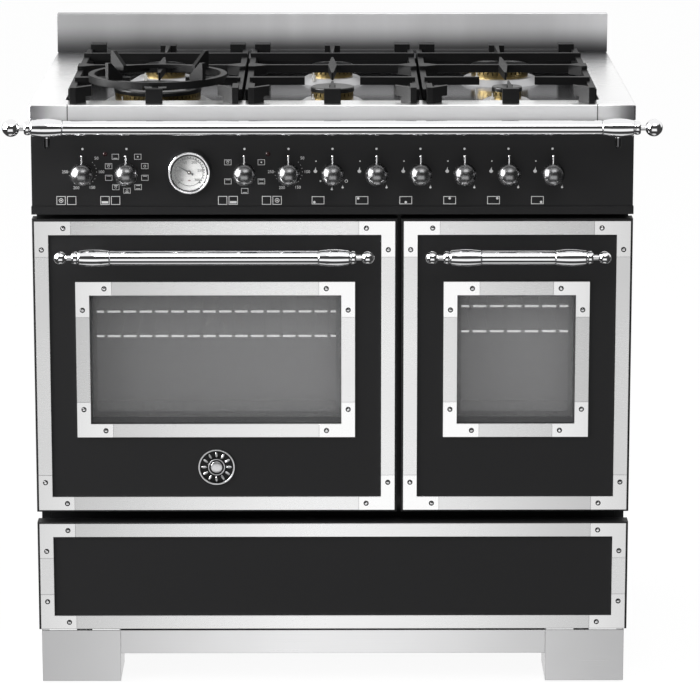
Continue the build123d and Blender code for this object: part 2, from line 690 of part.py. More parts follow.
# Ovens
ovens = {}
for side, span in doors.items():
    ovens[side] = (span[0] + CAVITY_SIDE + (2 if side == "left" else 0), span[1] - CAVITY_SIDE)
fan_x = (ovens["left"][0] + ovens["left"][1]) / 2
rib_y = (front_y + SHELF_FRONT - 4, front_y + SHELF_FRONT + SHELF_DEPTH + 4)
ring_ends = [(fan_x + dx, fan_z - FAN_RADIUS - 14) for dx in (-14, 14)]
with BuildPart() as oven_cavities:
    for side, (x0, x1) in ovens.items():
        block((x0 - SHEET, x1 + SHEET), (front_y, cavity_back + SHEET),
              (cavity_z[0] - SHEET, cavity_z[1] + SHEET))
        block(flanges[side], (front_y, front_y + SHEET), flange_z)
        block((x0, x1), (front_y, cavity_back), cavity_z, mode=Mode.SUBTRACT)
        for rise in SHELF_HEIGHTS[side]:
            shelf_z = cavity_z[0] + rise
            for wall, sign in ((x0, 1), (x1, -1)):
                block((wall, wall + sign * RIB_WIDTH), rib_y, (shelf_z - RIB_HEIGHT, shelf_z))
        grill_z = cavity_z[1] - GRILL_DROP
        for x in (x0 + 60, x1 - 60):
            rod((x, cavity_back - 1, grill_z), (x, cavity_back + 2 * SHEET, grill_z),
                ELEMENT_RADIUS + CLEAR, mode=Mode.SUBTRACT)
    for x, z in ring_ends:
        rod((x, cavity_back - 1, z), (x, cavity_back + 2 * SHEET, z), ELEMENT_RADIUS + CLEAR,
            mode=Mode.SUBTRACT)
    rod((fan_x, cavity_back - 1, fan_z), (fan_x, cavity_back + 2 * SHEET, fan_z), FAN_SHAFT + 2,
        mode=Mode.SUBTRACT)
    with BuildSketch(Plane(origin=(fan_x, cavity_back - BAFFLE_GAP, fan_z), x_dir=(1, 0, 0),
                           z_dir=(0, -1, 0))):
        RectangleRounded(2.4 * BAFFLE_RADIUS, 2 * BAFFLE_RADIUS, 20)
        with PolarLocations(FAN_RADIUS * 0.5, 8):
            SlotCenterToCenter(26, 7, mode=Mode.SUBTRACT)
    extrude(amount=SHEET)
    for sign in (-1, 1):
        x = fan_x + sign * (1.2 * BAFFLE_RADIUS - 8)
        rod((x, cavity_back - BAFFLE_GAP, fan_z), (x, cavity_back - RUN_FIT, fan_z), 5)
save(oven_cavities, "oven_cavities")

with BuildPart() as oven_shelves:
    for side, (x0, x1) in ovens.items():
        for rise in SHELF_HEIGHTS[side]:
            z = cavity_z[0] + rise + SHELF_ROD + RUN_FIT
            y0 = front_y + SHELF_FRONT
            y1 = y0 + SHELF_DEPTH
            left = x0 + SHELF_ROD + CLEAR
            right = x1 - SHELF_ROD - CLEAR
            with BuildLine() as outline:
                FilletPolyline((left, y0, z), (right, y0, z), (right, y1, z), (left, y1, z),
                               radius=12, close=True)
            border = outline.wires()[0]
            with BuildSketch(Plane(border ^ 0)):
                Circle(SHELF_ROD)
            sweep(path=border)
            count = int((right - left) / SHELF_PITCH)
            step = (right - left) / count
            for index in range(1, count):
                x = left + index * step
                rod((x, y0 - 1, z + SHELF_ROD - 0.7), (x, y1 + 1, z + SHELF_ROD - 0.7), SHELF_WIRE)
save(oven_shelves, "oven_shelves")

with BuildPart() as heating_elements:
    for side, (x0, x1) in ovens.items():
        grill_z = cavity_z[1] - GRILL_DROP
        with BuildLine() as loop:
            FilletPolyline((x0 + 60, cavity_back + 8, grill_z), (x0 + 60, front_y + 60, grill_z),
                           (x1 - 60, front_y + 60, grill_z), (x1 - 60, cavity_back + 8, grill_z),
                           radius=30)
        with BuildSketch(Plane(origin=(x0 + 60, cavity_back + 8, grill_z), z_dir=(0, -1, 0))):
            Circle(ELEMENT_RADIUS)
        sweep(path=loop.wires()[0])
    ring = FAN_RADIUS + 12
    ring_y = cavity_back - 14
    start_angle = 12
    with BuildSketch(Plane(origin=(fan_x + ring * sin(radians(start_angle)), ring_y,
                                   fan_z - ring * cos(radians(start_angle))),
                           z_dir=(cos(radians(start_angle)), 0, sin(radians(start_angle))))):
        Circle(ELEMENT_RADIUS)
    revolve(axis=Axis((fan_x, 0, fan_z), (0, -1, 0)), revolution_arc=360 - 2 * start_angle)
    for x, z in ring_ends:
        rod((x, ring_y - ELEMENT_RADIUS, z), (x, cavity_back + 8, z), ELEMENT_RADIUS)
save(heating_elements, "heating_elements")

with BuildPart() as door_seals:
    for x0, x1 in ovens.values():
        with BuildSketch(front_plane(0)):
            with Locations(((x0 + x1) / 2, (cavity_z[0] + cavity_z[1]) / 2)):
                outer = 2 * (SEAL_LAP + SEAL_WIDTH)
                RectangleRounded(x1 - x0 + outer, cavity_z[1] - cavity_z[0] + outer, 18)
                RectangleRounded(x1 - x0 + 2 * SEAL_LAP, cavity_z[1] - cavity_z[0] + 2 * SEAL_LAP, 9,
                                 mode=Mode.SUBTRACT)
        extrude(amount=DOOR_GAP - CLEAR)
save(door_seals, "door_seals")

fan_y = cavity_back - 4 - FAN_WIDTH
with BuildPart() as fan_motor:
    rod((fan_x, cavity_back + SHEET, fan_z), (fan_x, cavity_back + SHEET + MOTOR_LENGTH, fan_z),
        MOTOR_RADIUS)
    rod((fan_x, cavity_back + SHEET, fan_z), (fan_x, fan_y - 3, fan_z), FAN_SHAFT)
save(fan_motor, "fan_motor")

with BuildPart() as fan_impeller:
    rod((fan_x, fan_y, fan_z), (fan_x, fan_y + FAN_WIDTH, fan_z), FAN_HUB)
    rod((fan_x, fan_y + FAN_WIDTH - 1.5, fan_z), (fan_x, fan_y + FAN_WIDTH, fan_z), FAN_RADIUS - 6)
    with BuildSketch(Plane(origin=(fan_x, fan_y + FAN_WIDTH, fan_z), x_dir=(1, 0, 0),
                           z_dir=(0, -1, 0))):
        with PolarLocations(FAN_RADIUS * 0.7, FAN_BLADES):
            Rectangle(FAN_RADIUS * 0.4, 1.5, rotation=25)
    extrude(amount=FAN_WIDTH)
    rod((fan_x, fan_y - 1, fan_z), (fan_x, fan_y + FAN_WIDTH + 1, fan_z), FAN_SHAFT + RUN_FIT,
        mode=Mode.SUBTRACT)
save(fan_impeller, "fan_impeller")


# Doors
def door(side, span):
    """All pieces of one drop-down oven door."""
    height = (door_bottom, door_top)
    window_x = (span[0] + WINDOW_SIDE, span[1] - WINDOW_SIDE)
    outer_x = (span[0] + TRIM_INSET, span[1] - TRIM_INSET)
    outer_z = (door_bottom + TRIM_INSET, door_top - TRIM_INSET)
    sill_x = (window_x[0] - TRIM_WIDTH, window_x[1] + TRIM_WIDTH)
    sill_z = (window_z[0] - TRIM_WIDTH, window_z[1] + TRIM_WIDTH)
    screws = trim_screws(outer_x, outer_z) + trim_screws(sill_x, sill_z)
    spots = hinge_spots[side]
    slot_half = HINGE_LUG / 2 + 2
    with BuildPart() as panel:
        front_tray(span, height)
        block(window_x, (at(panel_reach - 2 * SHEET), at(panel_reach + SHEET)), window_z,
              mode=Mode.SUBTRACT)
        with BuildSketch(front_plane(panel_reach - 2 * SHEET)):
            with Locations(*screws):
                Circle(SCREW_RADIUS + RUN_FIT)
        extrude(amount=4 * SHEET, mode=Mode.SUBTRACT)
        for x in spots:
            block((x - slot_half, x + slot_half),
                  (at(liner_reach), at(pivot_reach + HINGE_BOSS_RADIUS + 2)),
                  (door_bottom - 1, door_bottom + 2 * SHEET), mode=Mode.SUBTRACT)
    save(panel, f"{side}_door_panel")
    with BuildPart() as trim:
        trim_frame(outer_x, outer_z)
        trim_frame(sill_x, sill_z)
    save(trim, f"{side}_door_trim")
    with BuildPart() as fixings:
        slotted_screws(screws)
    save(fixings, f"{side}_door_screws")
    glass_front = panel_reach - SHEET
    with BuildPart() as glass:
        block((window_x[0] - GLASS_LAP, window_x[1] + GLASS_LAP),
              (at(glass_front), at(glass_front - GLASS_THICK)),
              (window_z[0] - GLASS_LAP, window_z[1] + GLASS_LAP))
        block((window_x[0] + CLEAR, window_x[1] - CLEAR),
              (at(DOOR_GAP + SHEET), at(DOOR_GAP + SHEET + GLASS_THICK)),
              (window_z[0] + CLEAR, window_z[1] - CLEAR))
    save(glass, f"{side}_door_glass")
    liner_x = (span[0] + LINER_SIDE_INSET, span[1] - LINER_SIDE_INSET)
    liner_z = (door_bottom + LINER_BOTTOM_INSET, door_top - LINER_TOP_INSET)
    with BuildPart() as liner:
        block(liner_x, (at(DOOR_GAP), at(liner_reach)), liner_z)
        block((liner_x[0] + SHEET, liner_x[1] - SHEET), (at(DOOR_GAP + SHEET), at(liner_reach)),
              (liner_z[0] + SHEET, liner_z[1] - SHEET), mode=Mode.SUBTRACT)
        block((window_x[0] - SHEET, window_x[1] + SHEET),
              (at(DOOR_GAP), at(glass_front - GLASS_THICK)),
              (window_z[0] - SHEET, window_z[1] + SHEET))
        block(window_x, (at(DOOR_GAP + SHEET), at(glass_front)), window_z, mode=Mode.SUBTRACT)
        block((window_x[0] + 8, window_x[1] - 8), (at(DOOR_GAP - 1), at(DOOR_GAP + 2 * SHEET)),
              (window_z[0] + 8, window_z[1] - 8), mode=Mode.SUBTRACT)
        for edge, inner in ((span[0] + SHEET, liner_x[0]), (span[1] - SHEET, liner_x[1])):
            block((edge, inner), (at(liner_reach - SHEET), at(liner_reach)), liner_z)
    save(liner, f"{side}_door_liner")
    with BuildPart() as handle:
        turned_rail((span[0] + HANDLE_INSET, span[1] - HANDLE_INSET), handle_reach,
                    door_top - HANDLE_DROP, panel_reach, HANDLE_RADII)
    save(handle, f"{side}_door_handle")
    with BuildPart() as hinges:
        cheek = HINGE_LUG / 2 + SLIDE_CLEAR
        for x in spots:
            for sign in (-1, 1):
                block((x + sign * cheek, x + sign * (cheek + HINGE_CHEEK)),
                      (at(panel_reach - SHEET), at(pivot_reach - HINGE_BOSS_RADIUS)),
                      (pivot_z - HINGE_BOSS_RADIUS, pivot_z + HINGE_BOSS_RADIUS))
            block((x - cheek - HINGE_CHEEK, x + cheek + HINGE_CHEEK),
                  (at(panel_reach - SHEET), at(panel_reach - SHEET - HINGE_CHEEK)),
                  (pivot_z - HINGE_BOSS_RADIUS, pivot_z + HINGE_BOSS_RADIUS + 6))
            rod((x - cheek - HINGE_CHEEK, at(pivot_reach), pivot_z),
                (x + cheek + HINGE_CHEEK, at(pivot_reach), pivot_z), HINGE_PIN_RADIUS)
    save(hinges, f"{side}_door_hinges")


for side, span in doors.items():
    door(side, span)

# Drawer
drawer_span = (-door_half, door_half)
drawer_z = (drawer_bottom, drawer_top)
drawer_trim_x = (-door_half + TRIM_INSET, door_half - TRIM_INSET)
drawer_trim_z = (drawer_bottom + TRIM_INSET / 2, drawer_top - TRIM_INSET / 2)
drawer_fixings = trim_screws(drawer_trim_x, drawer_trim_z)
with BuildPart() as drawer_front:
    front_tray(drawer_span, drawer_z)
    with BuildSketch(front_plane(panel_reach - 2 * SHEET)):
        with Locations(*drawer_fixings):
            Circle(SCREW_RADIUS + RUN_FIT)
    extrude(amount=4 * SHEET, mode=Mode.SUBTRACT)
save(drawer_front, "drawer_front")

with BuildPart() as drawer_trim:
    trim_frame(drawer_trim_x, drawer_trim_z)
save(drawer_trim, "drawer_trim")

with BuildPart() as drawer_screws:
    slotted_screws(drawer_fixings)
save(drawer_screws, "drawer_screws")

box_back = front_y + BOX_DEPTH
backing = (at(liner_reach), at(liner_reach - SIDE_SHEET))
with BuildPart() as drawer_box:
    block((-door_half + 0.5, door_half - 0.5), backing, (drawer_bottom + 0.5, drawer_top - 0.5))
    block((-box_half, box_half), (backing[1], box_back), box_z)
    block((-box_half + SHEET, box_half - SHEET), (backing[1], box_back - SHEET),
          (box_z[0] + SHEET, box_z[1]), mode=Mode.SUBTRACT)
    for sign in (-1, 1):
        block((sign * (box_half + RUN_FIT), sign * slide_half), (front_y - 10, box_back), slide_z)
save(drawer_box, "drawer_box")

channel_x = slide_half - SLIDE_BITE
with BuildPart() as drawer_rails:
    block((channel_x, inner_half), (front_y + FRAME_DEPTH, box_back + 10),
          (slide_z[0] - 4, slide_z[1] + 4))
    block((channel_x, slide_half + SLIDE_CLEAR), (front_y + FRAME_DEPTH, box_back + 5),
          (slide_z[0] - SLIDE_CLEAR, slide_z[1] + SLIDE_CLEAR), mode=Mode.SUBTRACT)
    mirror(about=Plane.YZ)
save(drawer_rails, "drawer_rails")

# Worktop with a pressed hob well
well_front = hob(WELL_FRONT)
well_rear = back_y - WELL_REAR
well_mid = (well_front + well_rear) / 2
row_y = {"front": hob(ROW_FRONT), "rear": hob(ROW_FRONT + ROW_PITCH)}
columns = {"left": -COLUMN_PITCH, "centre": 0.0, "right": COLUMN_PITCH}
burners = {}
for name, radius in BURNER_RADII.items():
    column, row = name.split("_")
    burners[name] = (columns[column], row_y[row], radius)
wok = (columns["left"], row_y["front"], WOK_OUTER)
all_burners = list(burners.values()) + [wok]
spark_angle = radians(SPARK_ANGLE)
sparks = []
for x, y, radius in all_burners:
    offset = radius + CUP_LAP + 5
    sparks.append((x + offset * cos(spark_angle), y + offset * sin(spark_angle)))
seam_x = top_half - SEAM_INSET
with BuildPart() as worktop:
    block((-top_half, top_half), (at(worktop_reach), back_y), (carcass_top, rim_z))
    fillet(edges().filter_by(Axis.Z), 3)
    fillet(faces().sort_by(Axis.Z)[-1].edges(), 2.5)
    block((-top_half + WORKTOP_SKIRT, top_half - WORKTOP_SKIRT),
          (at(worktop_reach - WORKTOP_SKIRT), back_y - WORKTOP_SKIRT),
          (carcass_top, rim_z - WORKTOP_SHEET), mode=Mode.SUBTRACT)
    with BuildSketch(Plane(origin=(0, well_mid, rim_z))):
        RectangleRounded(2 * (well_half + WORKTOP_SHEET), well_rear - well_front + 2 * WORKTOP_SHEET,
                         WELL_CORNER + WORKTOP_SHEET)
    extrude(amount=-WELL_DEPTH - WORKTOP_SHEET)
    with BuildSketch(Plane(origin=(0, well_mid, rim_z))):
        RectangleRounded(2 * well_half, well_rear - well_front, WELL_CORNER)
    extrude(amount=-WELL_DEPTH, mode=Mode.SUBTRACT)
    with BuildSketch(Plane(origin=(0, 0, well_z))):
        for x, y, radius in all_burners:
            with Locations((x, y)):
                Circle(radius - 2 + CLEAR)
        with Locations(*sparks):
            Circle(SPARK_RADIUS + CLEAR)
    extrude(amount=-2 * WORKTOP_SHEET, mode=Mode.SUBTRACT)
    for x in (seam_x, -seam_x):
        block((x - SEAM_WIDTH / 2, x + SEAM_WIDTH / 2),
              (at(worktop_reach), at(worktop_reach - SEAM_DEPTH)), (carcass_top, rim_z), mode=Mode.SUBTRACT)
save(worktop, "worktop")

guard_y = back_y - BACKGUARD_THICK
with BuildPart() as backguard:
    block((-top_half, top_half), (guard_y, back_y), (rim_z, rim_z + BACKGUARD_HEIGHT))
    fillet(edges().filter_by_position(Axis.Z, rim_z + BACKGUARD_HEIGHT - 0.01,
                                      rim_z + BACKGUARD_HEIGHT + 0.01), 2)
    block((-well_half, well_half), (guard_y - LEDGE_DEPTH, guard_y), (rim_z, rim_z + LEDGE_HEIGHT))
    block((-top_half + SHEET, top_half - SHEET), (guard_y + SHEET, back_y),
          (rim_z, rim_z + BACKGUARD_HEIGHT - SHEET - 1), mode=Mode.SUBTRACT)
save(backguard, "backguard")

# Burners, from the cup up
crown_z = well_z + CUP_HEIGHT
cap_z = crown_z + CROWN_HEIGHT
with BuildPart() as burner_cups:
    for x, y, radius in all_burners:
        with Locations((x, y, (well_z + crown_z) / 2)):
            Cone(radius + CUP_LAP + CUP_FLARE, radius + CUP_LAP, CUP_HEIGHT)
        rod((x, y, well_z - CUP_SINK), (x, y, well_z), radius - 2)
        rod((x, y, well_z - CUP_SINK + 3), (x, y, crown_z), radius - 5, mode=Mode.SUBTRACT)
    for x, y in sparks:
        rod((x, y, well_z), (x, y, crown_z), SPARK_RADIUS + CLEAR, mode=Mode.SUBTRACT)
save(burner_cups, "burner_cups")


def ported_ring(x, y, outer, inner):
    """Burner ring with flame ports cut through its upper half."""
    with BuildSketch(Plane(origin=(x, y, crown_z))) as wall:
        Circle(outer)
        Circle(inner, mode=Mode.SUBTRACT)
    extrude(wall.sketch, amount=CROWN_HEIGHT / 2)
    with BuildSketch(Plane(origin=(x, y, crown_z + CROWN_HEIGHT / 2))) as ports:
        Circle(outer)
        Circle(inner, mode=Mode.SUBTRACT)
        with PolarLocations((outer + inner) / 2, int(2 * pi * outer / PORT_PITCH)):
            Rectangle(outer - inner + 6, PORT_WIDTH, mode=Mode.SUBTRACT)
    extrude(ports.sketch, amount=CROWN_HEIGHT / 2 - 1.5)
    with BuildSketch(Plane(origin=(x, y, cap_z - 1.5))) as lid:
        Circle(outer)
        Circle(inner, mode=Mode.SUBTRACT)
    extrude(lid.sketch, amount=1.5)


with BuildPart() as burner_crowns:
    for x, y, radius in burners.values():
        ported_ring(x, y, radius, radius - CROWN_WALL)
    ported_ring(wok[0], wok[1], WOK_OUTER, WOK_OUTER - WOK_RING)
    ported_ring(wok[0], wok[1], WOK_INNER, WOK_INNER - CROWN_WALL)
    for angle in (45, 165, 285):
        spoke = Plane(origin=(wok[0], wok[1], crown_z), x_dir=(cos(radians(angle)), sin(radians(angle)), 0))
        with BuildSketch(spoke):
            with Locations(((WOK_INNER + WOK_OUTER - WOK_RING) / 2, 0)):
                Rectangle(WOK_OUTER - WOK_RING - WOK_INNER + 6, 9)
        extrude(amount=CROWN_HEIGHT / 3)
save(burner_crowns, "burner_crowns")

with BuildPart() as burner_caps:
    for x, y, radius in list(burners.values()) + [(wok[0], wok[1], WOK_INNER)]:
        rod((x, y, cap_z), (x, y, cap_z + CAP_HEIGHT), radius + 1)
    with BuildSketch(Plane(origin=(wok[0], wok[1], cap_z))):
        Circle(WOK_OUTER + 1)
        Circle(WOK_OUTER - WOK_RING - 1, mode=Mode.SUBTRACT)
    extrude(amount=CAP_HEIGHT)
    fillet(edges().filter_by_position(Axis.Z, cap_z + CAP_HEIGHT - 0.01, cap_z + CAP_HEIGHT + 0.01), 2.5)
save(burner_caps, "burner_caps")

with BuildPart() as spark_electrodes:
    for x, y in sparks:
        rod((x, y, well_z - 12), (x, y, crown_z + 6), SPARK_RADIUS)
        rod((x, y, crown_z + 6), (x, y, crown_z + CROWN_HEIGHT), 1)
save(spark_electrodes, "spark_electrodes")

# Cast pan supports, one over each pair of burners
grate_half = GRATE_WIDTH / 2
ring_front = well_front + 6
ring_rear = well_rear - 6
lug_front = hob(LUG_FRONT)
lug_rear = well_rear + LUG_REAR_LAP
finger_y = row_y["front"]
rear_bar_y = row_y["rear"] + REAR_BAR_SETBACK
mid_y = (finger_y + rear_bar_y) / 2
top_z = rim_z + GRATE_TOP
lug_z = (rim_z, top_z + LUG_RISE)
ring_z = (rim_z - GRATE_SINK, rim_z - 2)
finger_z = (top_z - FINGER_HEIGHT, top_z)


def cast_bar(points, levels):
    """Upright bar of the casting, from its plan and its two levels."""
    with BuildSketch(Plane.XY.offset(levels[0])) as plan:
        with BuildLine():
            Polyline(*points, close=True)
        make_face()
    extrude(plan.sketch, amount=levels[1] - levels[0])


with BuildPart() as pan_supports:
    for x in columns.values():
        edge = (x - grate_half, x + grate_half)
        block(edge, (ring_front, ring_rear), ring_z)
        block((edge[0] + GRATE_BAR, edge[1] - GRATE_BAR),
              (ring_front + GRATE_BAR, ring_rear - GRATE_BAR), ring_z, mode=Mode.SUBTRACT)
        for outer, sign in ((edge[0], 1), (edge[1], -1)):
            block((outer, outer + sign * GRATE_BAR), (ring_front, ring_rear),
                  (ring_z[0], rim_z + SIDE_BAR_TOP))
            # Front corner: a foot with a brace that runs in at 45 degrees and arches off the rim
            nose = outer + sign * (CORNER_INSET + GRATE_BAR)
            block((outer + sign * CORNER_INSET, nose), (lug_front, ring_front + GRATE_BAR), lug_z)
            for near, far, lift in ((0, CORNER_FOOT, 0), (CORNER_FOOT, CORNER_REACH, CORNER_ARCH)):
                cast_bar([(nose + sign * near, lug_front + near), (nose + sign * far, lug_front + far),
                          (nose + sign * far, lug_front + far + LUG_DEPTH),
                          (nose + sign * near, lug_front + near + LUG_DEPTH)],
                         (rim_z + lift, lug_z[1]))
            block((outer + sign * CORNER_INSET, outer + sign * (CORNER_INSET + LUG_WIDTH)),
                  (ring_rear - GRATE_BAR, lug_rear), lug_z)
            cast_bar([(outer, mid_y - GUSSET_DEPTH / 2),
                      (outer + sign * GRATE_BAR, mid_y - GUSSET_DEPTH / 2),
                      (outer + sign * GUSSET_WIDTH, mid_y - GRATE_BAR / 2),
                      (outer + sign * GUSSET_WIDTH, mid_y + GRATE_BAR / 2),
                      (outer + sign * GRATE_BAR, mid_y + GUSSET_DEPTH / 2),
                      (outer, mid_y + GUSSET_DEPTH / 2)],
                     (top_z - GUSSET_HEIGHT, top_z))
            root, tip = outer + sign * GRATE_BAR / 2, x - sign * FINGER_STOP
            cast_bar([(root, finger_y - FINGER_ROOT / 2), (tip, finger_y - FINGER_TIP / 2),
                      (tip, finger_y + FINGER_TIP / 2), (root, finger_y + FINGER_ROOT / 2)], finger_z)
        for y in (mid_y, rear_bar_y):
            block(edge, (y - GRATE_BAR / 2, y + GRATE_BAR / 2), finger_z)
        point, half = POINT_WIDTH / 2, DIAMOND_LENGTH / 2
        cast_bar([(x - point, mid_y - half), (x + point, mid_y - half), (x + DIAMOND_WIDTH / 2, mid_y),
                  (x + point, mid_y + half), (x - point, mid_y + half), (x - DIAMOND_WIDTH / 2, mid_y)],
                 finger_z)
        neck = FINGER_NECK / 2
        ends = (((lug_front, lug_front + LUG_DEPTH), ring_front, finger_y - FINGER_STOP),
                ((lug_rear, ring_rear - GRATE_BAR), ring_rear - GRATE_BAR, rear_bar_y))
        for lug, leg, tip in ends:
            block((x - LUG_WIDTH / 2, x + LUG_WIDTH / 2), lug, (rim_z, top_z))
            block((x - neck, x + neck), (leg, leg + GRATE_BAR), (ring_z[0], top_z))
            cast_bar([(x - neck, lug[0]), (x + neck, lug[0]), (x + point, tip), (x - point, tip)], finger_z)
    inner, outer = WOK_RING_RADII
    with BuildSketch(Plane(origin=(wok[0], wok[1], top_z + RUN_FIT))):
        Circle(outer)
        Circle(inner, mode=Mode.SUBTRACT)
    extrude(amount=rim_z + WOK_RING_BAND[1] - top_z)
    with BuildSketch(Plane(origin=(wok[0], wok[1], rim_z + WOK_RING_BAND[0]))):
        with PolarLocations((inner + outer) / 2, 4, start_angle=45):
            Rectangle(30, outer * 1.2)
        Circle(outer, mode=Mode.INTERSECT)
        Circle(inner, mode=Mode.SUBTRACT)
    extrude(amount=top_z - rim_z - WOK_RING_BAND[0] + 2)
    for angle in (45, 135, 225, 315):
        heading = (cos(radians(angle)), sin(radians(angle)), 0)
        side_normal = (sin(radians(angle)), -cos(radians(angle)), 0)
        with BuildSketch(Plane(origin=(wok[0], wok[1], rim_z), x_dir=heading, z_dir=side_normal)):
            with BuildLine():
                Polyline((inner + 2, WOK_RING_BAND[0] + 4), (outer - 2, WOK_RING_BAND[0] + 4),
                         (outer - 2, WOK_FIN_TOP), (outer - 8, WOK_FIN_TOP),
                         (inner - 22, WOK_RING_BAND[1] + 4), (inner - 22, WOK_RING_BAND[1] - 3),
                         (inner + 2, WOK_RING_BAND[1] - 5), close=True)
            make_face()
        extrude(amount=WOK_FIN_THICK / 2, both=True)
save(pan_supports, "pan_supports")
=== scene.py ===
import json
from math import cos, pi, radians, sin

import bpy
from bpy.props import FloatProperty, FloatVectorProperty, PointerProperty
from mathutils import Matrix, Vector

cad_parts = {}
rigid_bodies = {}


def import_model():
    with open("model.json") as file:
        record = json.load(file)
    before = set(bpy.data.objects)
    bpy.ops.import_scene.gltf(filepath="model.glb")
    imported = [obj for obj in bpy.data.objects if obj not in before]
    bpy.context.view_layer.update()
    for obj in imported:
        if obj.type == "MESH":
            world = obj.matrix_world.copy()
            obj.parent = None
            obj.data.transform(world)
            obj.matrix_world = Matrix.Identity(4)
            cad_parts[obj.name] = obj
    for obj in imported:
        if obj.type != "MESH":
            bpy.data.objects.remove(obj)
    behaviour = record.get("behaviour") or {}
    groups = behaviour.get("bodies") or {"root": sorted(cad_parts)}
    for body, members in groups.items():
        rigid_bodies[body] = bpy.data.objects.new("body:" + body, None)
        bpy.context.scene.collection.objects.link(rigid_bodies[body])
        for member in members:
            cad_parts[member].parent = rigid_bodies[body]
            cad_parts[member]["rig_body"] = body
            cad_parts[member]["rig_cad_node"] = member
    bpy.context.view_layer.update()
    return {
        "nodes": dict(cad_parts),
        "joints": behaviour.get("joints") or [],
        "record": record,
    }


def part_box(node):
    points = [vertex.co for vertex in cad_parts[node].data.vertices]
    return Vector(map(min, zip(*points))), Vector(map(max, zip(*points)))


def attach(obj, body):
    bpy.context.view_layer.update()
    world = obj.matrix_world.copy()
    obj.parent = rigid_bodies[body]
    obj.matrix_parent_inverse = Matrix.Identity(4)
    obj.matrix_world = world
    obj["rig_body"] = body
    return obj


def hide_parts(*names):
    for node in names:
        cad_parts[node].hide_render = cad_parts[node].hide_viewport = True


bl_info = {
    "name": "Range Cooker Dressing",
    "version": (1, 0, 0),
    "blender": (4, 5, 0),
    "location": "View3D > Sidebar > Cooker",
    "description": "Finishes and small fittings for a range cooker on its packed frame",
    "category": "Object",
}

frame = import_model()

# Faces of the frame that the fittings sit on
LIP_REACH = 0.002
TRIM_BAR = 0.0207
REAR_FOLD = 0.030
PEG_LENGTH = 0.0165
DIAL_LIFT = 0.003
FASCIA_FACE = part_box("control_panel")[0].y + LIP_REACH
DOOR_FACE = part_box("left_door_panel")[0].y
PLATE_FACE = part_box("left_door_trim")[0].y
OUTER_UPRIGHT = -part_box("left_door_trim")[0].x - TRIM_BAR
REAR_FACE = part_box("side_panels")[1].y - REAR_FOLD
WORKTOP_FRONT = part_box("worktop")[0].y
RIM_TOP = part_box("worktop")[1].z
SHELF_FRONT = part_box("oven_shelves")[0].y
PEG_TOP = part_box("towel_rail")[0].z + PEG_LENGTH
NEEDLE_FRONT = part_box("gauge_needle")[0].y
LENS_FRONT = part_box("gauge_glass")[0].y
GAUGE_LOW, GAUGE_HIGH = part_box("gauge_case")
GAUGE_CENTRE = (GAUGE_LOW + GAUGE_HIGH) / 2
DIAL_FACE = FASCIA_FACE - DIAL_LIFT
KNOBS = {joint["child"][5:]: Vector(joint["pos_m"]) for joint in frame["joints"]
         if joint["name"].endswith("_turn")}
KNOB_Z = KNOBS["wok"].z
TO_FRONT = (pi / 2, 0, 0)
TO_REAR = (-pi / 2, 0, 0)


class CookerSizes(bpy.types.PropertyGroup):
    """Sizes of the rounded edges and the fittings."""

    sheet_edge: FloatProperty(name="Sheet edge", description="Round on folded sheet edges",
                              default=0.0009, unit="LENGTH")
    trim_edge: FloatProperty(name="Trim edge", description="Round on the door trim edges",
                             default=0.0004, unit="LENGTH")
    casting_edge: FloatProperty(name="Casting edge", description="Round on the cast pan supports",
                                default=0.0014, unit="LENGTH")
    ink: FloatProperty(name="Ink", description="Thickness of the panel print",
                       default=0.00012, unit="LENGTH")
    line: FloatProperty(name="Line", description="Width of a printed line",
                        default=0.0009, unit="LENGTH")
    numeral: FloatProperty(name="Numeral", description="Height of the numbers round a knob",
                           default=0.0062, unit="LENGTH")
    medallion: FloatProperty(name="Medallion", description="Radius of the door medallion",
                             default=0.0275, unit="LENGTH")
    lamp: FloatProperty(name="Lamp", description="Radius of an indicator lamp",
                        default=0.0030, unit="LENGTH")


class CookerColours(bpy.types.PropertyGroup):
    """Colours of the main finishes."""

    panel: FloatVectorProperty(name="Panel enamel", description="Satin enamel of the panels",
                               default=(0.0142, 0.0142, 0.0148), subtype="COLOR")
    steel: FloatVectorProperty(name="Stainless steel", description="Worktop and plinth steel",
                               default=(0.74, 0.74, 0.75), subtype="COLOR")
    trim: FloatVectorProperty(name="Trim", description="Brushed trim round the doors",
                              default=(0.98, 0.98, 0.98), subtype="COLOR")
    chrome: FloatVectorProperty(name="Chrome", description="Plating on rails and handles",
                                default=(0.90, 0.90, 0.91), subtype="COLOR")
    brass: FloatVectorProperty(name="Brass", description="Burner crowns",
                               default=(0.30, 0.225, 0.095), subtype="COLOR")
    iron: FloatVectorProperty(name="Iron", description="Cast pan supports",
                              default=(0.0045, 0.0045, 0.0048), subtype="COLOR")
    knob: FloatVectorProperty(name="Knob", description="Polished knob balls",
                              default=(0.30, 0.30, 0.305), subtype="COLOR")
    print_ink: FloatVectorProperty(name="Print", description="Marks on the control panel",
                                   default=(0.62, 0.62, 0.62), subtype="COLOR")


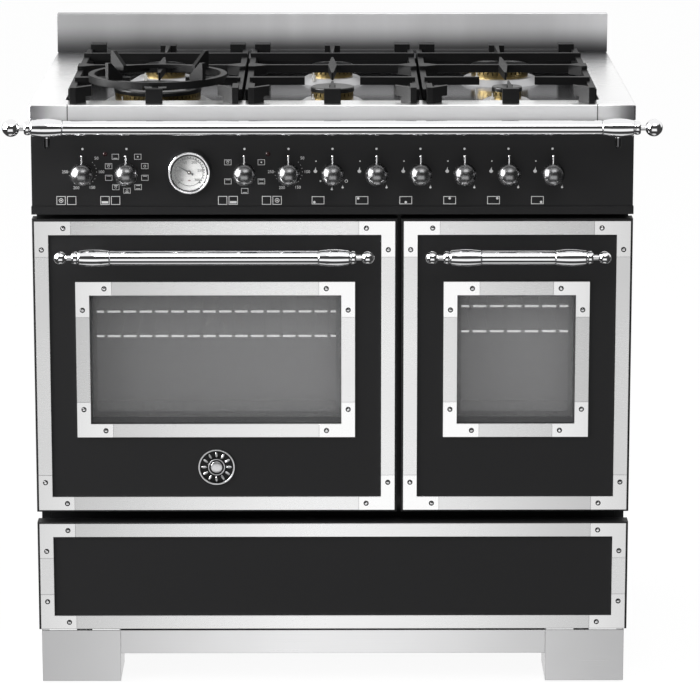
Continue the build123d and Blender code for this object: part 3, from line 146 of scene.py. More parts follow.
class CookerStage(bpy.types.PropertyGroup):
    """Camera and lamp values."""

    distance: FloatProperty(name="Distance", description="Camera in front of the worktop edge",
                            default=5.4, unit="LENGTH")
    height: FloatProperty(name="Height", description="Camera height", default=1.692, unit="LENGTH")
    aim: FloatProperty(name="Aim", description="Height that the camera looks at",
                       default=0.5235, unit="LENGTH")
    side_aim: FloatProperty(name="Side aim", description="How far right of the middle it looks",
                            default=0.026, unit="LENGTH")
    lens: FloatProperty(name="Lens", description="Focal length", default=189.1, unit="CAMERA")
    ambient: FloatProperty(name="Ambient", description="Strength of the surrounding light",
                           default=0.50)
    side_power: FloatProperty(name="Side lamp", description="Softbox at the left",
                              default=34.0, unit="POWER")
    top_power: FloatProperty(name="Top lamp", description="Softbox over the hob",
                             default=30.0, unit="POWER")
    front_power: FloatProperty(name="Front lamp", description="Wide softbox in front",
                               default=60.0, unit="POWER")
    card_power: FloatProperty(name="Card lamp", description="Card that only polished metal sees",
                              default=430.0, unit="POWER")


def sizes():
    return bpy.context.scene.cooker_sizes


def colours():
    return bpy.context.scene.cooker_colours


# Selecting and shaping

def only(*pieces):
    """Select just these pieces, the first one active."""
    if bpy.context.mode != "OBJECT":
        bpy.ops.object.mode_set(mode="OBJECT")
    bpy.ops.object.select_all(action="DESELECT")
    for piece in pieces:
        piece.select_set(True)
    bpy.context.view_layer.objects.active = pieces[0]


def pick(piece, test, points=False):
    """Select the faces, or the points, that pass a test, and stay in edit mode."""
    only(piece)
    bpy.ops.object.mode_set(mode="EDIT")
    bpy.ops.mesh.select_mode(type="VERT" if points else "FACE")
    bpy.ops.mesh.select_all(action="DESELECT")
    bpy.ops.object.mode_set(mode="OBJECT")
    for part in piece.data.vertices if points else piece.data.polygons:
        part.select = test(part)
    bpy.ops.object.mode_set(mode="EDIT")


STRAIGHT = 0.9


def at_front(face):
    return face.normal.y < -STRAIGHT


def at_rear(face):
    return face.normal.y > STRAIGHT


def anywhere(face):
    return True


def fix_place(piece):
    """Write the piece's place, turn and size into its mesh."""
    only(piece)
    bpy.ops.object.transform_apply(location=True, rotation=True, scale=True)


def placed(piece, spot=(0, 0, 0), scale=(1, 1, 1)):
    """Size and move a piece, and write both into its mesh."""
    piece.scale = scale
    piece.location = spot
    fix_place(piece)


def stepped(piece, test, steps):
    """Inset the faces that pass a test, by a width and a depth for each step."""
    pick(piece, test)
    for thickness, depth in steps:
        bpy.ops.mesh.inset(thickness=thickness, depth=depth)
    bpy.ops.object.mode_set(mode="OBJECT")


def modified(piece, kind, **values):
    """Add one modifier with these values and apply it."""
    only(piece)
    bpy.ops.object.modifier_add(type=kind)
    modifier = piece.modifiers[-1]
    for label, value in values.items():
        setattr(modifier, label, value)
    bpy.ops.object.modifier_apply(modifier=modifier.name)


def bevelled(piece, width, segments=2, corner=30):
    """Round the edges that are sharper than a corner angle."""
    modified(piece, "BEVEL", width=width, segments=segments, limit_method="ANGLE",
             angle_limit=radians(corner))


def smoothed(piece, angle=35):
    only(piece)
    bpy.ops.object.shade_smooth_by_angle(angle=radians(angle))


def copies(model, spots):
    """Copies of a modelled piece, each with its own mesh, moved by these steps."""
    made = []
    for spot in spots:
        only(model)
        bpy.ops.object.duplicate(linked=False)
        copy = bpy.context.object
        copy.location = Vector(spot)
        made.append(copy)
    return made


def joined(pieces, name):
    """One piece out of several, with its place in its mesh."""
    only(*pieces)
    if len(pieces) > 1:
        bpy.ops.object.join()
    piece = bpy.context.object
    piece.name = piece.data.name = name
    fix_place(piece)
    return piece


def discard(*pieces):
    for piece in pieces:
        bpy.data.objects.remove(piece)


def dress(piece, finish, body="cooker", nodes=()):
    """Give a finished piece its material and body, and hide the nodes it stands for."""
    piece.data.materials.clear()
    piece.data.materials.append(FINISHES[finish])
    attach(piece, body)
    if nodes:
        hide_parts(*nodes)


def rounded_copy(node, name, width, segments=2, corner=40):
    """A copy of a frame node with its sharp edges rounded."""
    only(frame["nodes"][node])
    bpy.ops.object.duplicate(linked=False)
    piece = bpy.context.object
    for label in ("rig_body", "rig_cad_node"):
        del piece[label]
    piece.parent = None
    piece.name = piece.data.name = name
    bpy.ops.mesh.customdata_custom_splitnormals_clear()
    bpy.ops.object.mode_set(mode="EDIT")
    bpy.ops.mesh.select_all(action="SELECT")
    bpy.ops.mesh.remove_doubles(threshold=1e-6)
    bpy.ops.mesh.dissolve_limited(angle_limit=radians(0.5))
    bpy.ops.object.mode_set(mode="OBJECT")
    bevelled(piece, width, segments, corner)
    smoothed(piece)
    modified(piece, "WEIGHTED_NORMAL", keep_sharp=True, weight=100)
    return piece


# Shader effects

def feed(tree, value, socket):
    if isinstance(value, bpy.types.NodeSocket):
        tree.links.new(value, socket)
    else:
        socket.default_value = value


def sums(tree, operation, *values):
    """One Math node."""
    made = tree.nodes.new("ShaderNodeMath")
    made.operation = operation
    for index, value in enumerate(values):
        feed(tree, value, made.inputs[index])
    return made.outputs[0]


def inverse(tree, value):
    return sums(tree, "SUBTRACT", 1.0, value)


def grey(tone, blue=0.0):
    """A grey with a little more blue."""
    return tone, tone, tone + blue, 1


def mixed(tree, factor, first, second):
    """One colour Mix node."""
    made = tree.nodes.new("ShaderNodeMix")
    made.data_type = "RGBA"
    feed(tree, factor, made.inputs[0])
    feed(tree, first, made.inputs[6])
    feed(tree, second, made.inputs[7])
    return made.outputs[2]


def faded(tree, factor, first, second):
    """One value Mix node."""
    made = tree.nodes.new("ShaderNodeMix")
    feed(tree, factor, made.inputs[0])
    feed(tree, first, made.inputs[2])
    feed(tree, second, made.inputs[3])
    return made.outputs[0]


def noise(tree, vector, scale, detail=3.0):
    made = tree.nodes.new("ShaderNodeTexNoise")
    feed(tree, vector, made.inputs["Vector"])
    feed(tree, scale, made.inputs["Scale"])
    made.inputs["Detail"].default_value = detail
    return made.outputs["Fac"]


def stretched(tree, scale):
    """Object coordinates times a scale for each direction."""
    coords = tree.nodes.new("ShaderNodeTexCoord")
    made = tree.nodes.new("ShaderNodeVectorMath")
    made.operation = "MULTIPLY"
    tree.links.new(coords.outputs["Object"], made.inputs[0])
    feed(tree, scale, made.inputs[1])
    return made.outputs[0]


def ramp(tree, value, low, high):
    """0 below the low value and 1 above the high one, smooth between them."""
    made = tree.nodes.new("ShaderNodeMapRange")
    made.interpolation_type = "SMOOTHSTEP"
    feed(tree, value, made.inputs["Value"])
    made.inputs["From Min"].default_value = low
    made.inputs["From Max"].default_value = high
    return made.outputs["Result"]


def effect(name, inputs, outputs):
    """An empty node group with named sockets."""
    tree = bpy.data.node_groups.new(name, "ShaderNodeTree")
    for label, kind, value in inputs:
        made = tree.interface.new_socket(name=label, in_out="INPUT", socket_type=kind)
        made.default_value = value
    for label, kind in outputs:
        tree.interface.new_socket(name=label, in_out="OUTPUT", socket_type=kind)
    return tree, tree.nodes.new("NodeGroupInput").outputs, tree.nodes.new("NodeGroupOutput").inputs


FLOAT, COLOUR, VECTOR = "NodeSocketFloat", "NodeSocketColor", "NodeSocketVector"


def make_effects():
    """Grain for metals and coatings, smudges from handling, and scattered flecks."""
    tree, given, out = effect(
        "fine_grain",
        (("Colour", COLOUR, grey(0.5)), ("Scale", VECTOR, (900, 900, 900)),
         ("Tone", FLOAT, 0.1), ("Roughness", FLOAT, 0.4), ("Spread", FLOAT, 0.1),
         ("Relief", FLOAT, 1e-5)),
        (("Colour", COLOUR), ("Roughness", FLOAT), ("Height", FLOAT)))
    grain = noise(tree, stretched(tree, given["Scale"]), 1.0, 4.0)
    centred = sums(tree, "SUBTRACT", grain, 0.5)
    tinted = tree.nodes.new("ShaderNodeVectorMath")
    tinted.operation = "SCALE"
    tree.links.new(given["Colour"], tinted.inputs[0])
    tree.links.new(sums(tree, "MULTIPLY_ADD", centred, given["Tone"], 1.0), tinted.inputs["Scale"])
    tree.links.new(tinted.outputs[0], out["Colour"])
    tree.links.new(sums(tree, "MULTIPLY_ADD", centred, given["Spread"], given["Roughness"]),
                   out["Roughness"])
    tree.links.new(sums(tree, "MULTIPLY", grain, given["Relief"]), out["Height"])

    tree, given, out = effect(
        "handling_smudges",
        (("Roughness", FLOAT, 0.3), ("Amount", FLOAT, 0.1), ("Scale", FLOAT, 9.0)),
        (("Roughness", FLOAT),))
    cloud = noise(tree, stretched(tree, (1.0, 1.0, 1.0)), given["Scale"], 5.0)
    centred = sums(tree, "SUBTRACT", cloud, 0.5)
    tree.links.new(sums(tree, "MULTIPLY_ADD", centred, given["Amount"], given["Roughness"]),
                   out["Roughness"])

    tree, given, out = effect(
        "scattered_flecks", (("Scale", FLOAT, 400.0), ("Size", FLOAT, 0.2)), (("Mask", FLOAT),))
    cells = tree.nodes.new("ShaderNodeTexVoronoi")
    tree.links.new(stretched(tree, (1.0, 1.0, 1.0)), cells.inputs["Vector"])
    tree.links.new(given["Scale"], cells.inputs["Scale"])
    tree.links.new(sums(tree, "LESS_THAN", cells.outputs["Distance"], given["Size"]), out["Mask"])


def placed_effect(tree, name, **values):
    made = tree.nodes.new("ShaderNodeGroup")
    made.node_tree = bpy.data.node_groups[name]
    for label, value in values.items():
        feed(tree, value, made.inputs[label])
    return made.outputs


def surface(name, colour, roughness, scale=(700, 700, 700), tone=0.10, spread=0.06,
            relief=6e-6, smudge=0.06, **sockets):
    """A material of one grained finish; sockets set the shader's own plain values."""
    material = bpy.data.materials.new(name)
    material.use_nodes = True
    tree = material.node_tree
    shader = tree.nodes["Principled BSDF"]
    grain = placed_effect(tree, "fine_grain", Colour=(*colour, 1), Scale=scale, Tone=tone,
                          Roughness=roughness, Spread=spread, Relief=relief)
    worn = placed_effect(tree, "handling_smudges", Roughness=grain["Roughness"], Amount=smudge)
    bump = tree.nodes.new("ShaderNodeBump")
    bump.inputs["Distance"].default_value = 1.0
    tree.links.new(grain["Height"], bump.inputs["Height"])
    tree.links.new(grain["Colour"], shader.inputs["Base Color"])
    tree.links.new(worn["Roughness"], shader.inputs["Roughness"])
    tree.links.new(bump.outputs["Normal"], shader.inputs["Normal"])
    for label, value in sockets.items():
        shader.inputs[label.replace("_", " ").replace("Ior", "IOR")].default_value = value
    return material


def parts_of(material):
    """The tree, shader and current base colour and roughness links of a material."""
    tree = material.node_tree
    shader = tree.nodes["Principled BSDF"]
    colour = shader.inputs["Base Color"].links[0].from_socket
    roughness = shader.inputs["Roughness"].links[0].from_socket
    return tree, shader, colour, roughness


def axes(tree):
    coords = tree.nodes.new("ShaderNodeTexCoord")
    split = tree.nodes.new("ShaderNodeSeparateXYZ")
    tree.links.new(coords.outputs["Object"], split.inputs[0])
    return split.outputs


# Zones of the worktop, from its front edge, its rim and its middle
BAND_SKIN = 0.0006
BORDER_DEPTH = 0.050
RIM_DEPTH = 0.003
WELL_DEPTH = 0.012
SEAM_PLACE = 0.393
SEAM_HALF = 0.0008
SEAM_DEPTH = 0.006
TOP_HALF = 0.450


def worktop_steel(colour):
    """Brushed steel: a bright rim with painted shade towards the upstand, a duller well, the folded
    corners' seams in the band, and painted light on the front band.
    """
    material = surface("worktop_steel", colour, 0.28, (6, 900, 900), 0.08, 0.06, 0.0, 0.04,
                       Metallic=1.0)
    tree, shader, base, rough = parts_of(material)
    x, y, z = axes(tree)
    front = sums(tree, "LESS_THAN", y, WORKTOP_FRONT + BAND_SKIN)
    border = sums(tree, "LESS_THAN", y, WORKTOP_FRONT + BORDER_DEPTH)
    rim = sums(tree, "MAXIMUM", sums(tree, "GREATER_THAN", z, RIM_TOP - RIM_DEPTH), border)
    well = sums(tree, "MULTIPLY", sums(tree, "LESS_THAN", z, RIM_TOP - WELL_DEPTH),
                inverse(tree, border))
    # Painted shade: the rim darkens towards the rear, where the upstand shades it.
    edge = mixed(tree, ramp(tree, y, 0.12, 0.30), grey(0.97), grey(0.40, 0.01))
    flat = mixed(tree, well, mixed(tree, rim, base, edge), grey(0.42, 0.01))
    aside = sums(tree, "ABSOLUTE", sums(tree, "SUBTRACT", sums(tree, "ABSOLUTE", x), SEAM_PLACE))
    seam = sums(tree, "MULTIPLY", sums(tree, "LESS_THAN", aside, SEAM_HALF),
                sums(tree, "LESS_THAN", y, WORKTOP_FRONT + SEAM_DEPTH))
    # Painted light on the front band: darker along its lower part, lighter towards the right, and
    # dark on the corner pieces past the seams.
    upper = ramp(tree, z, RIM_TOP - 0.026, RIM_TOP - 0.016)
    side_painted_shade = mixed(tree, ramp(tree, x, -TOP_HALF, TOP_HALF), grey(0.70, 0.005), grey(0.90, 0.005))
    band = mixed(tree, upper, grey(0.54, 0.005), side_painted_shade)
    corner = ramp(tree, sums(tree, "ABSOLUTE", x), SEAM_PLACE - 0.001, TOP_HALF)
    band = mixed(tree, corner, band, grey(0.16, 0.005))
    toned = mixed(tree, front, flat, band)
    tree.links.new(mixed(tree, seam, toned, grey(0.12)), shader.inputs["Base Color"])
    smooth = faded(tree, well, rough, 0.13)
    tree.links.new(faded(tree, front, smooth, 0.45), shader.inputs["Roughness"])
    return material


def rail_chrome(colour):
    """Polished plating, with painted shade on the pegs under the rail."""
    material = surface("rail_chrome", colour, 0.045, (350, 350, 350), 0.03, 0.02, 3e-7, 0.03,
                       Metallic=1.0)
    tree, shader, base, _ = parts_of(material)
    under = sums(tree, "LESS_THAN", axes(tree)[2], PEG_TOP)
    # Painted shade: the pegs under the rail are dark.
    tree.links.new(mixed(tree, under, base, grey(0.10, 0.002)), shader.inputs["Base Color"])
    return material


FOOT_SHADE = 0.048


def upstand_steel(colour):
    """Satin steel with soft upright streaks, with painted shade on its left part and towards the
    foot.
    """
    material = surface("upstand_steel", colour, 0.42, (34, 34, 2.5), 0.16, 0.10, 0.0, 0.06,
                       Metallic=0.5)
    tree, shader, base, _ = parts_of(material)
    x, _, z = axes(tree)
    # Painted shade: darker on the left part and dark at the foot.
    side_painted_shade = mixed(tree, ramp(tree, x, -0.50, 0.05), grey(0.36, 0.005), base)
    above = ramp(tree, z, RIM_TOP, RIM_TOP + FOOT_SHADE)
    tree.links.new(mixed(tree, above, grey(0.04, 0.001), side_painted_shade), shader.inputs["Base Color"])
    return material


def plinth_steel(colour):
    """Brushed steel with painted shade towards both ends."""
    material = surface("plinth_steel", colour, 0.30, (6, 1500, 1500), 0.12, 0.10, 2e-6, 0.08,
                       Metallic=1.0)
    tree, shader, base, _ = parts_of(material)
    # Painted shade: darker towards both ends.
    ends = ramp(tree, sums(tree, "ABSOLUTE", axes(tree)[0]), 0.0, 0.50)
    tree.links.new(mixed(tree, ends, base, grey(0.53, 0.005)), shader.inputs["Base Color"])
    return material


PLATE_STEP = 0.00011
DOOR_SPREAD = 0.55


def plated_trim(colour, plate):
    """Brushed bars with painted shade towards both ends and a lighter painted tone on the outer
    uprights, with brighter corner plates that stand prouder and painted shade towards the outer
    sides."""
    material = surface("brushed_trim", colour, 0.28, (60, 1400, 1400), 0.06, 0.06, 2e-6, 0.05,
                       Metallic=1.0)
    tree, shader, base, rough = parts_of(material)
    x, y, _ = axes(tree)
    aside = sums(tree, "ABSOLUTE", x)
    # Painted shade: bars darken towards both ends, the outer uprights keep a lighter painted tone,
    # and the corner plates darken towards the outer sides.
    bars = mixed(tree, ramp(tree, aside, 0.0, DOOR_SPREAD), base, grey(0.56))
    uprights = sums(tree, "GREATER_THAN", aside, OUTER_UPRIGHT)
    bars = mixed(tree, uprights, bars, grey(0.75))
    plates = mixed(tree, ramp(tree, aside, 0.18, DOOR_SPREAD), (*plate, 1), grey(0.64))
    proud = sums(tree, "LESS_THAN", y, PLATE_FACE + PLATE_STEP)
    tree.links.new(mixed(tree, proud, bars, plates), shader.inputs["Base Color"])
    tree.links.new(faded(tree, proud, rough, 0.16), shader.inputs["Roughness"])
    return material


# How far in front of the plates and the door the dark ground of a relief ends: painted shade in the
# screw cups and slots, a dark ground on the medallion
SLOT_LEVEL = 0.0009
RELIEF_LEVEL = 0.0016


def two_level(name, colour, roughness, level):
    """Plated relief that is dark behind a level of the front: painted shade in the screw cups and
    slots, and a dark ground on the medallion.
    """
    material = surface(name, colour, roughness, (900, 900, 900), 0.06, 0.06, 2e-6, 0.05,
                       Metallic=1.0)
    tree, shader, base, _ = parts_of(material)
    sunk = sums(tree, "GREATER_THAN", axes(tree)[1], level)
    # For the screws this is painted shade: all behind the level is dark.
    tree.links.new(mixed(tree, sunk, base, grey(0.02)), shader.inputs["Base Color"])
    return material


# First cross wire and wire pitch of the wide and the narrow oven's shelves
OVEN_SPLIT = 0.1
WIRE_STARTS = (-0.36851, 0.18368)
WIRE_STEPS = (0.02419, 0.02638)
ROD_SKIN = 0.0005
THROUGH_GLASS = 1.5


def shelf_finish(chrome):
    """Shelf wire: seen through the door glass, the front rods glow with painted light, but for the
    gaps where the wires cross them, and the rest of the wire is painted dark as shade."""
    material = surface("shelf_wire", chrome, 0.25, (400, 400, 400), 0.1, 0.05, 2e-6, Metallic=0.6)
    tree, shader, base, _ = parts_of(material)
    x, y, _ = axes(tree)
    narrow = sums(tree, "GREATER_THAN", x, OVEN_SPLIT)
    start, step = faded(tree, narrow, *WIRE_STARTS), faded(tree, narrow, *WIRE_STEPS)
    turns = sums(tree, "DIVIDE", sums(tree, "SUBTRACT", x, start), step)
    aside = sums(tree, "ABSOLUTE", sums(tree, "SUBTRACT", turns, sums(tree, "ROUND", turns)))
    lit = sums(tree, "MULTIPLY", sums(tree, "GREATER_THAN", aside, 0.11),
               sums(tree, "LESS_THAN", y, SHELF_FRONT + ROD_SKIN))
    # Painted light: behind the glass the front rods glow by emission, though they are no lamp, and
    # the rest of the wire is painted dark.
    path = tree.nodes.new("ShaderNodeLightPath")
    behind = sums(tree, "GREATER_THAN", path.outputs["Transparent Depth"], THROUGH_GLASS)
    shaded = sums(tree, "MULTIPLY", behind, inverse(tree, lit))
    bright = sums(tree, "MULTIPLY", behind, lit)
    tree.links.new(mixed(tree, shaded, base, grey(0.03)), shader.inputs["Base Color"])
    tree.links.new(mixed(tree, bright, grey(0), grey(1)), shader.inputs["Emission Color"])
    shader.inputs["Emission Strength"].default_value = 1.7
    return material


INNER_PANE = 0.022


def paired_glass():
    """Door glass: a clear outer pane and a coated, greyer inner one behind it, lighter towards the
    right with painted light.
    """
    material = surface("tinted_glass", (0.28, 0.281, 0.284), 0.06, (60, 60, 60), 0.02, 0.02, 0.0,
                       0.02)
    tree, shader, base, _ = parts_of(material)
    x, y, _ = axes(tree)
    inner = sums(tree, "GREATER_THAN", y, DOOR_FACE + INNER_PANE)
    tree.links.new(faded(tree, inner, 0.07, 0.45), shader.inputs["Alpha"])
    # Painted light: the glass grows lighter towards the right.
    right = sums(tree, "MULTIPLY", ramp(tree, x, -0.36, 0.02), 0.75)
    tree.links.new(mixed(tree, right, base, grey(0.39, 0.005)), shader.inputs["Base Color"])
    return material


def dial_card():
    """Dial card: white at the right, with painted shade towards the upper left."""
    material = surface("dial_white", (0.95, 0.94, 0.93), 0.5, (900, 900, 900), 0.05, 0.05, 2e-6)
    tree, shader, base, _ = parts_of(material)
    across, _, up = axes(tree)
    # Painted shade: the card turns grey towards the upper left.
    slant = sums(tree, "SUBTRACT", sums(tree, "SUBTRACT", across, GAUGE_CENTRE.x),
                 sums(tree, "MULTIPLY", sums(tree, "SUBTRACT", up, GAUGE_CENTRE.z), 0.35))
    light = ramp(tree, slant, -0.016, 0.004)
    tree.links.new(mixed(tree, light, (0.17, 0.165, 0.16, 1), base), shader.inputs["Base Color"])
    return material


# A knob's bright pointer starts above its axis, and its skirt behind the ball
POINTER_FOOT = 0.0174
SKIRT_FRONT = 0.0118


def knob_finish(ball, chrome):
    """Dark plated ball with painted shade above and a pale painted reflection below, with a bright
    pointer and skirt.
    """
    material = surface("knob_gloss", ball, 0.27, (400, 400, 400), 0.1, 0.02, 0.0, 0.03,
                       Metallic=1.0)
    tree, shader, base, rough = parts_of(material)
    _, y, z = axes(tree)
    plated = sums(tree, "MAXIMUM", sums(tree, "GREATER_THAN", z, KNOB_Z + POINTER_FOOT),
                  sums(tree, "GREATER_THAN", y, FASCIA_FACE - SKIRT_FRONT))
    # Painted shade darkens the upper half of the ball, and a painted reflection makes its lower
    # part pale.
    upper = ramp(tree, z, KNOB_Z - 0.001, KNOB_Z + 0.009)
    ball_painted_light = mixed(tree, sums(tree, "MULTIPLY", upper, 0.50), base, grey(0.012))
    above = ramp(tree, z, KNOB_Z - 0.009, KNOB_Z - 0.002)
    ball_painted_light = mixed(tree, above, grey(0.52, 0.005), ball_painted_light)
    tree.links.new(mixed(tree, plated, ball_painted_light, (*chrome, 1)), shader.inputs["Base Color"])
    tree.links.new(faded(tree, plated, rough, 0.12), shader.inputs["Roughness"])
    return material


def flecked_enamel(name, colour, fleck, roughness):
    """Oven enamel with small pale flecks."""
    material = surface(name, colour, roughness, (500, 500, 500), 0.12, 0.05, 5e-6)
    tree, shader, base, _ = parts_of(material)
    flecks = placed_effect(tree, "scattered_flecks", Scale=260.0, Size=0.13)["Mask"]
    tree.links.new(mixed(tree, flecks, base, (*fleck, 1)), shader.inputs["Base Color"])
    return material


def spangled_zinc(name, colour):
    """Galvanised sheet with its crystal pattern."""
    material = surface(name, colour, 0.42, (300, 300, 300), 0.10, 0.08, 4e-6, Metallic=0.55)
    tree, shader, base, rough = parts_of(material)
    cells = tree.nodes.new("ShaderNodeTexVoronoi")
    tree.links.new(stretched(tree, (1.0, 1.0, 1.0)), cells.inputs["Vector"])
    cells.inputs["Scale"].default_value = 90.0
    tone = tree.nodes.new("ShaderNodeSeparateColor")
    tree.links.new(cells.outputs["Color"], tone.inputs[0])
    shade = sums(tree, "MULTIPLY", tone.outputs[0], 0.35)
    tree.links.new(mixed(tree, shade, base, (0.30, 0.31, 0.33, 1)), shader.inputs["Base Color"])
    tree.links.new(sums(tree, "MULTIPLY_ADD", tone.outputs[1], 0.15, rough),
                   shader.inputs["Roughness"])
    return material


def heat_tinted(name, colour):
    """Element and hinge steel with a straw and blue heat tint."""
    material = surface(name, colour, 0.38, (250, 250, 250), 0.2, 0.1, 8e-6, Metallic=1.0)
    tree, shader, base, _ = parts_of(material)
    patch = noise(tree, stretched(tree, (1.0, 1.0, 1.0)), 14.0)
    tree.links.new(mixed(tree, sums(tree, "MULTIPLY", patch, 0.6), base, (0.20, 0.13, 0.07, 1)),
                   shader.inputs["Base Color"])
    return material


FINISHES = {}


def make_finishes():
    """One material for each slot of the record, by slot name, and a few of their own."""
    make_effects()
    tint = colours()
    chrome = tuple(tint.chrome)
    FINISHES.update(
        charcoal_enamel=surface("charcoal_enamel", tint.panel, 0.46, (420, 420, 420), 0.10, 0.05,
                                9e-6, 0.05, Specular_Ior_Level=0.16),
        black_enamel=surface("black_enamel", (0.007, 0.007, 0.0072), 0.30, (500, 500, 500), 0.15,
                             0.06, 8e-6, 0.08, Specular_Ior_Level=0.35),
        oven_enamel=flecked_enamel("oven_enamel", (0.030, 0.030, 0.032), (0.16, 0.16, 0.17), 0.30),
        stainless_steel=surface("stainless_steel", tint.steel, 0.30, (6, 1500, 1500), 0.12, 0.10,
                                2e-6, 0.08, Metallic=1.0),
        worktop_steel=worktop_steel(tint.steel),
        upstand_steel=upstand_steel((0.71, 0.71, 0.72)),
        plinth_steel=plinth_steel((0.95, 0.95, 0.955)),
        rail_chrome=rail_chrome(chrome),
        brushed_trim=plated_trim(tint.trim, (1.0, 1.0, 1.0)),
        galvanised_steel=spangled_zinc("galvanised_steel", (0.50, 0.51, 0.52)),
        element_steel=heat_tinted("element_steel", (0.16, 0.155, 0.15)),
        polished_chrome=surface("polished_chrome", chrome, 0.045, (350, 350, 350), 0.03, 0.02,
                                3e-7, 0.03, Metallic=1.0),
        cast_aluminium=surface("cast_aluminium", (0.50, 0.50, 0.51), 0.42, (900, 900, 900), 0.2,
                               0.14, 3e-5, 0.1, Metallic=1.0),
        cast_iron=surface("cast_iron", tint.iron, 0.45, (800, 800, 800), 0.35, 0.16, 7e-5, 0.1,
                          Specular_Ior_Level=0.15),
        burner_brass=surface("burner_brass", tint.brass, 0.30, (600, 600, 600), 0.16, 0.12, 1e-5,
                             0.12, Metallic=1.0),
        knob_plastic=knob_finish(tint.knob, chrome),
        black_plastic=surface("black_plastic", (0.012, 0.012, 0.012), 0.5, (700, 700, 700), 0.2,
                              0.1, 2e-5),
        black_rubber=surface("black_rubber", (0.010, 0.010, 0.010), 0.75, (900, 900, 900), 0.3,
                             0.1, 4e-5),
        white_ceramic=surface("white_ceramic", (0.72, 0.71, 0.68), 0.22, (300, 300, 300), 0.08,
                              0.05, 3e-6),
        clear_glass=surface("clear_glass", (0.9, 0.92, 0.92), 0.03, (60, 60, 60), 0.02, 0.02,
                            0.0, 0.03, Alpha=0.10),
        tinted_glass=paired_glass(),
        screw_chrome=two_level("screw_chrome", chrome, 0.16, PLATE_FACE - SLOT_LEVEL),
        medallion_relief=two_level("medallion_relief", (0.72, 0.72, 0.73), 0.28,
                                   DOOR_FACE - RELIEF_LEVEL),
        shelf_wire=shelf_finish(chrome),
        print_ink=surface("print_ink", tint.print_ink, 0.6, (2500, 2500, 2500), 0.12, 0.1, 4e-6),
        dial_white=dial_card(),
        dial_brown=surface("dial_brown", (0.06, 0.035, 0.025), 0.4, (900, 900, 900), 0.1, 0.05,
                           2e-6),
        dial_black=surface("dial_black", (0.02, 0.02, 0.02), 0.5, (900, 900, 900), 0.1, 0.05,
                           2e-6),
        dial_red=surface("dial_red", (0.30, 0.16, 0.16), 0.5, (900, 900, 900), 0.1, 0.05, 2e-6),
        lamp_red=surface("lamp_red", (0.028, 0.005, 0.005), 0.14, (900, 900, 900), 0.2, 0.04,
                         2e-6),
    )


OWN_FINISHES = {"worktop": "worktop_steel", "backguard": "upstand_steel",
                "oven_shelves": "shelf_wire", "plinth": "plinth_steel",
                "towel_rail": "rail_chrome"}


class COOKER_OT_finishes(bpy.types.Operator):
    """Give every frame node the finish of its slot"""

    bl_idname = "cooker.finishes"
    bl_label = "Finishes"

    def execute(self, context):
        make_finishes()
        for row in frame["record"]["subparts"]:
            node = frame["nodes"][row["node"]]
            node.data.materials.clear()
            finish = OWN_FINISHES.get(row["node"], row["material_slot"])
            node.data.materials.append(FINISHES[finish])
        return {"FINISHED"}


class COOKER_OT_sheet_metal(bpy.types.Operator):
    """Round the folded edges of the panels, worktop, plinth and control panel"""

    bl_idname = "cooker.sheet_metal"
    bl_label = "Sheet metal"

    def execute(self, context):
        edge = sizes().sheet_edge
        pieces = (
            ("control_panel", "fascia", "charcoal_enamel", "charcoal_enamel", "cooker"),
            ("side_panels", "carcass_sides", "charcoal_enamel", "charcoal_enamel", "cooker"),
            ("worktop", "hob_top", "worktop_steel", "stainless_steel", "cooker"),
            ("backguard", "upstand", "upstand_steel", "stainless_steel", "cooker"),
            ("plinth", "legged_plinth", "plinth_steel", "stainless_steel", "cooker"),
            ("left_door_panel", "left_door_skin", "charcoal_enamel", "charcoal_enamel",
             "left_door"),
            ("right_door_panel", "right_door_skin", "charcoal_enamel", "charcoal_enamel",
             "right_door"),
            ("drawer_front", "drawer_skin", "charcoal_enamel", "charcoal_enamel", "drawer"),
        )
        for node, name, finish, slot, body in pieces:
            piece = rounded_copy(node, name, edge)
            dress(piece, finish, body, (node,))
        return {"FINISHED"}


CUP_RADIUS, CUP_DEPTH = 0.0039, 0.0005
CUP_STEPS = ((0.0004, 0), (0.0003, -0.0004), (0.0006, 0), (0.0001, 0.0013), (0.0008, 0.0004))
SLOT_SIZE = (0.0060, 0.0014, 0.0007)
SLOT_REACH = 0.0018
SCREW_SPREAD = 0.011
SCREW_TURN = 0.7


def screw_head():
    """One slotted head in a sunk cup, at the origin and facing the front."""
    bpy.ops.mesh.primitive_cylinder_add(vertices=32, radius=CUP_RADIUS, depth=CUP_DEPTH,
                                        rotation=TO_FRONT)
    head = bpy.context.object
    placed(head, (0, -CUP_DEPTH / 2, 0))
    stepped(head, at_front, CUP_STEPS)
    bpy.ops.mesh.primitive_cube_add(size=1)
    blade = bpy.context.object
    placed(blade, (0, -SLOT_REACH, 0), SLOT_SIZE)
    modified(head, "BOOLEAN", object=blade, operation="DIFFERENCE", solver="EXACT")
    discard(blade)
    smoothed(head, 30)
    return head


def screw_spots(node):
    """The middle of each screw in a frame node."""
    groups = []
    for point in node.data.vertices:
        spot = node.matrix_world @ point.co
        near = [group for group in groups if (group[0] - spot).length < SCREW_SPREAD]
        if near:
            near[0].append(spot)
        else:
            groups.append([spot])
    middles = []
    for group in groups:
        across, up = [spot.x for spot in group], [spot.z for spot in group]
        middles.append(((min(across) + max(across)) / 2, (min(up) + max(up)) / 2))
    return middles


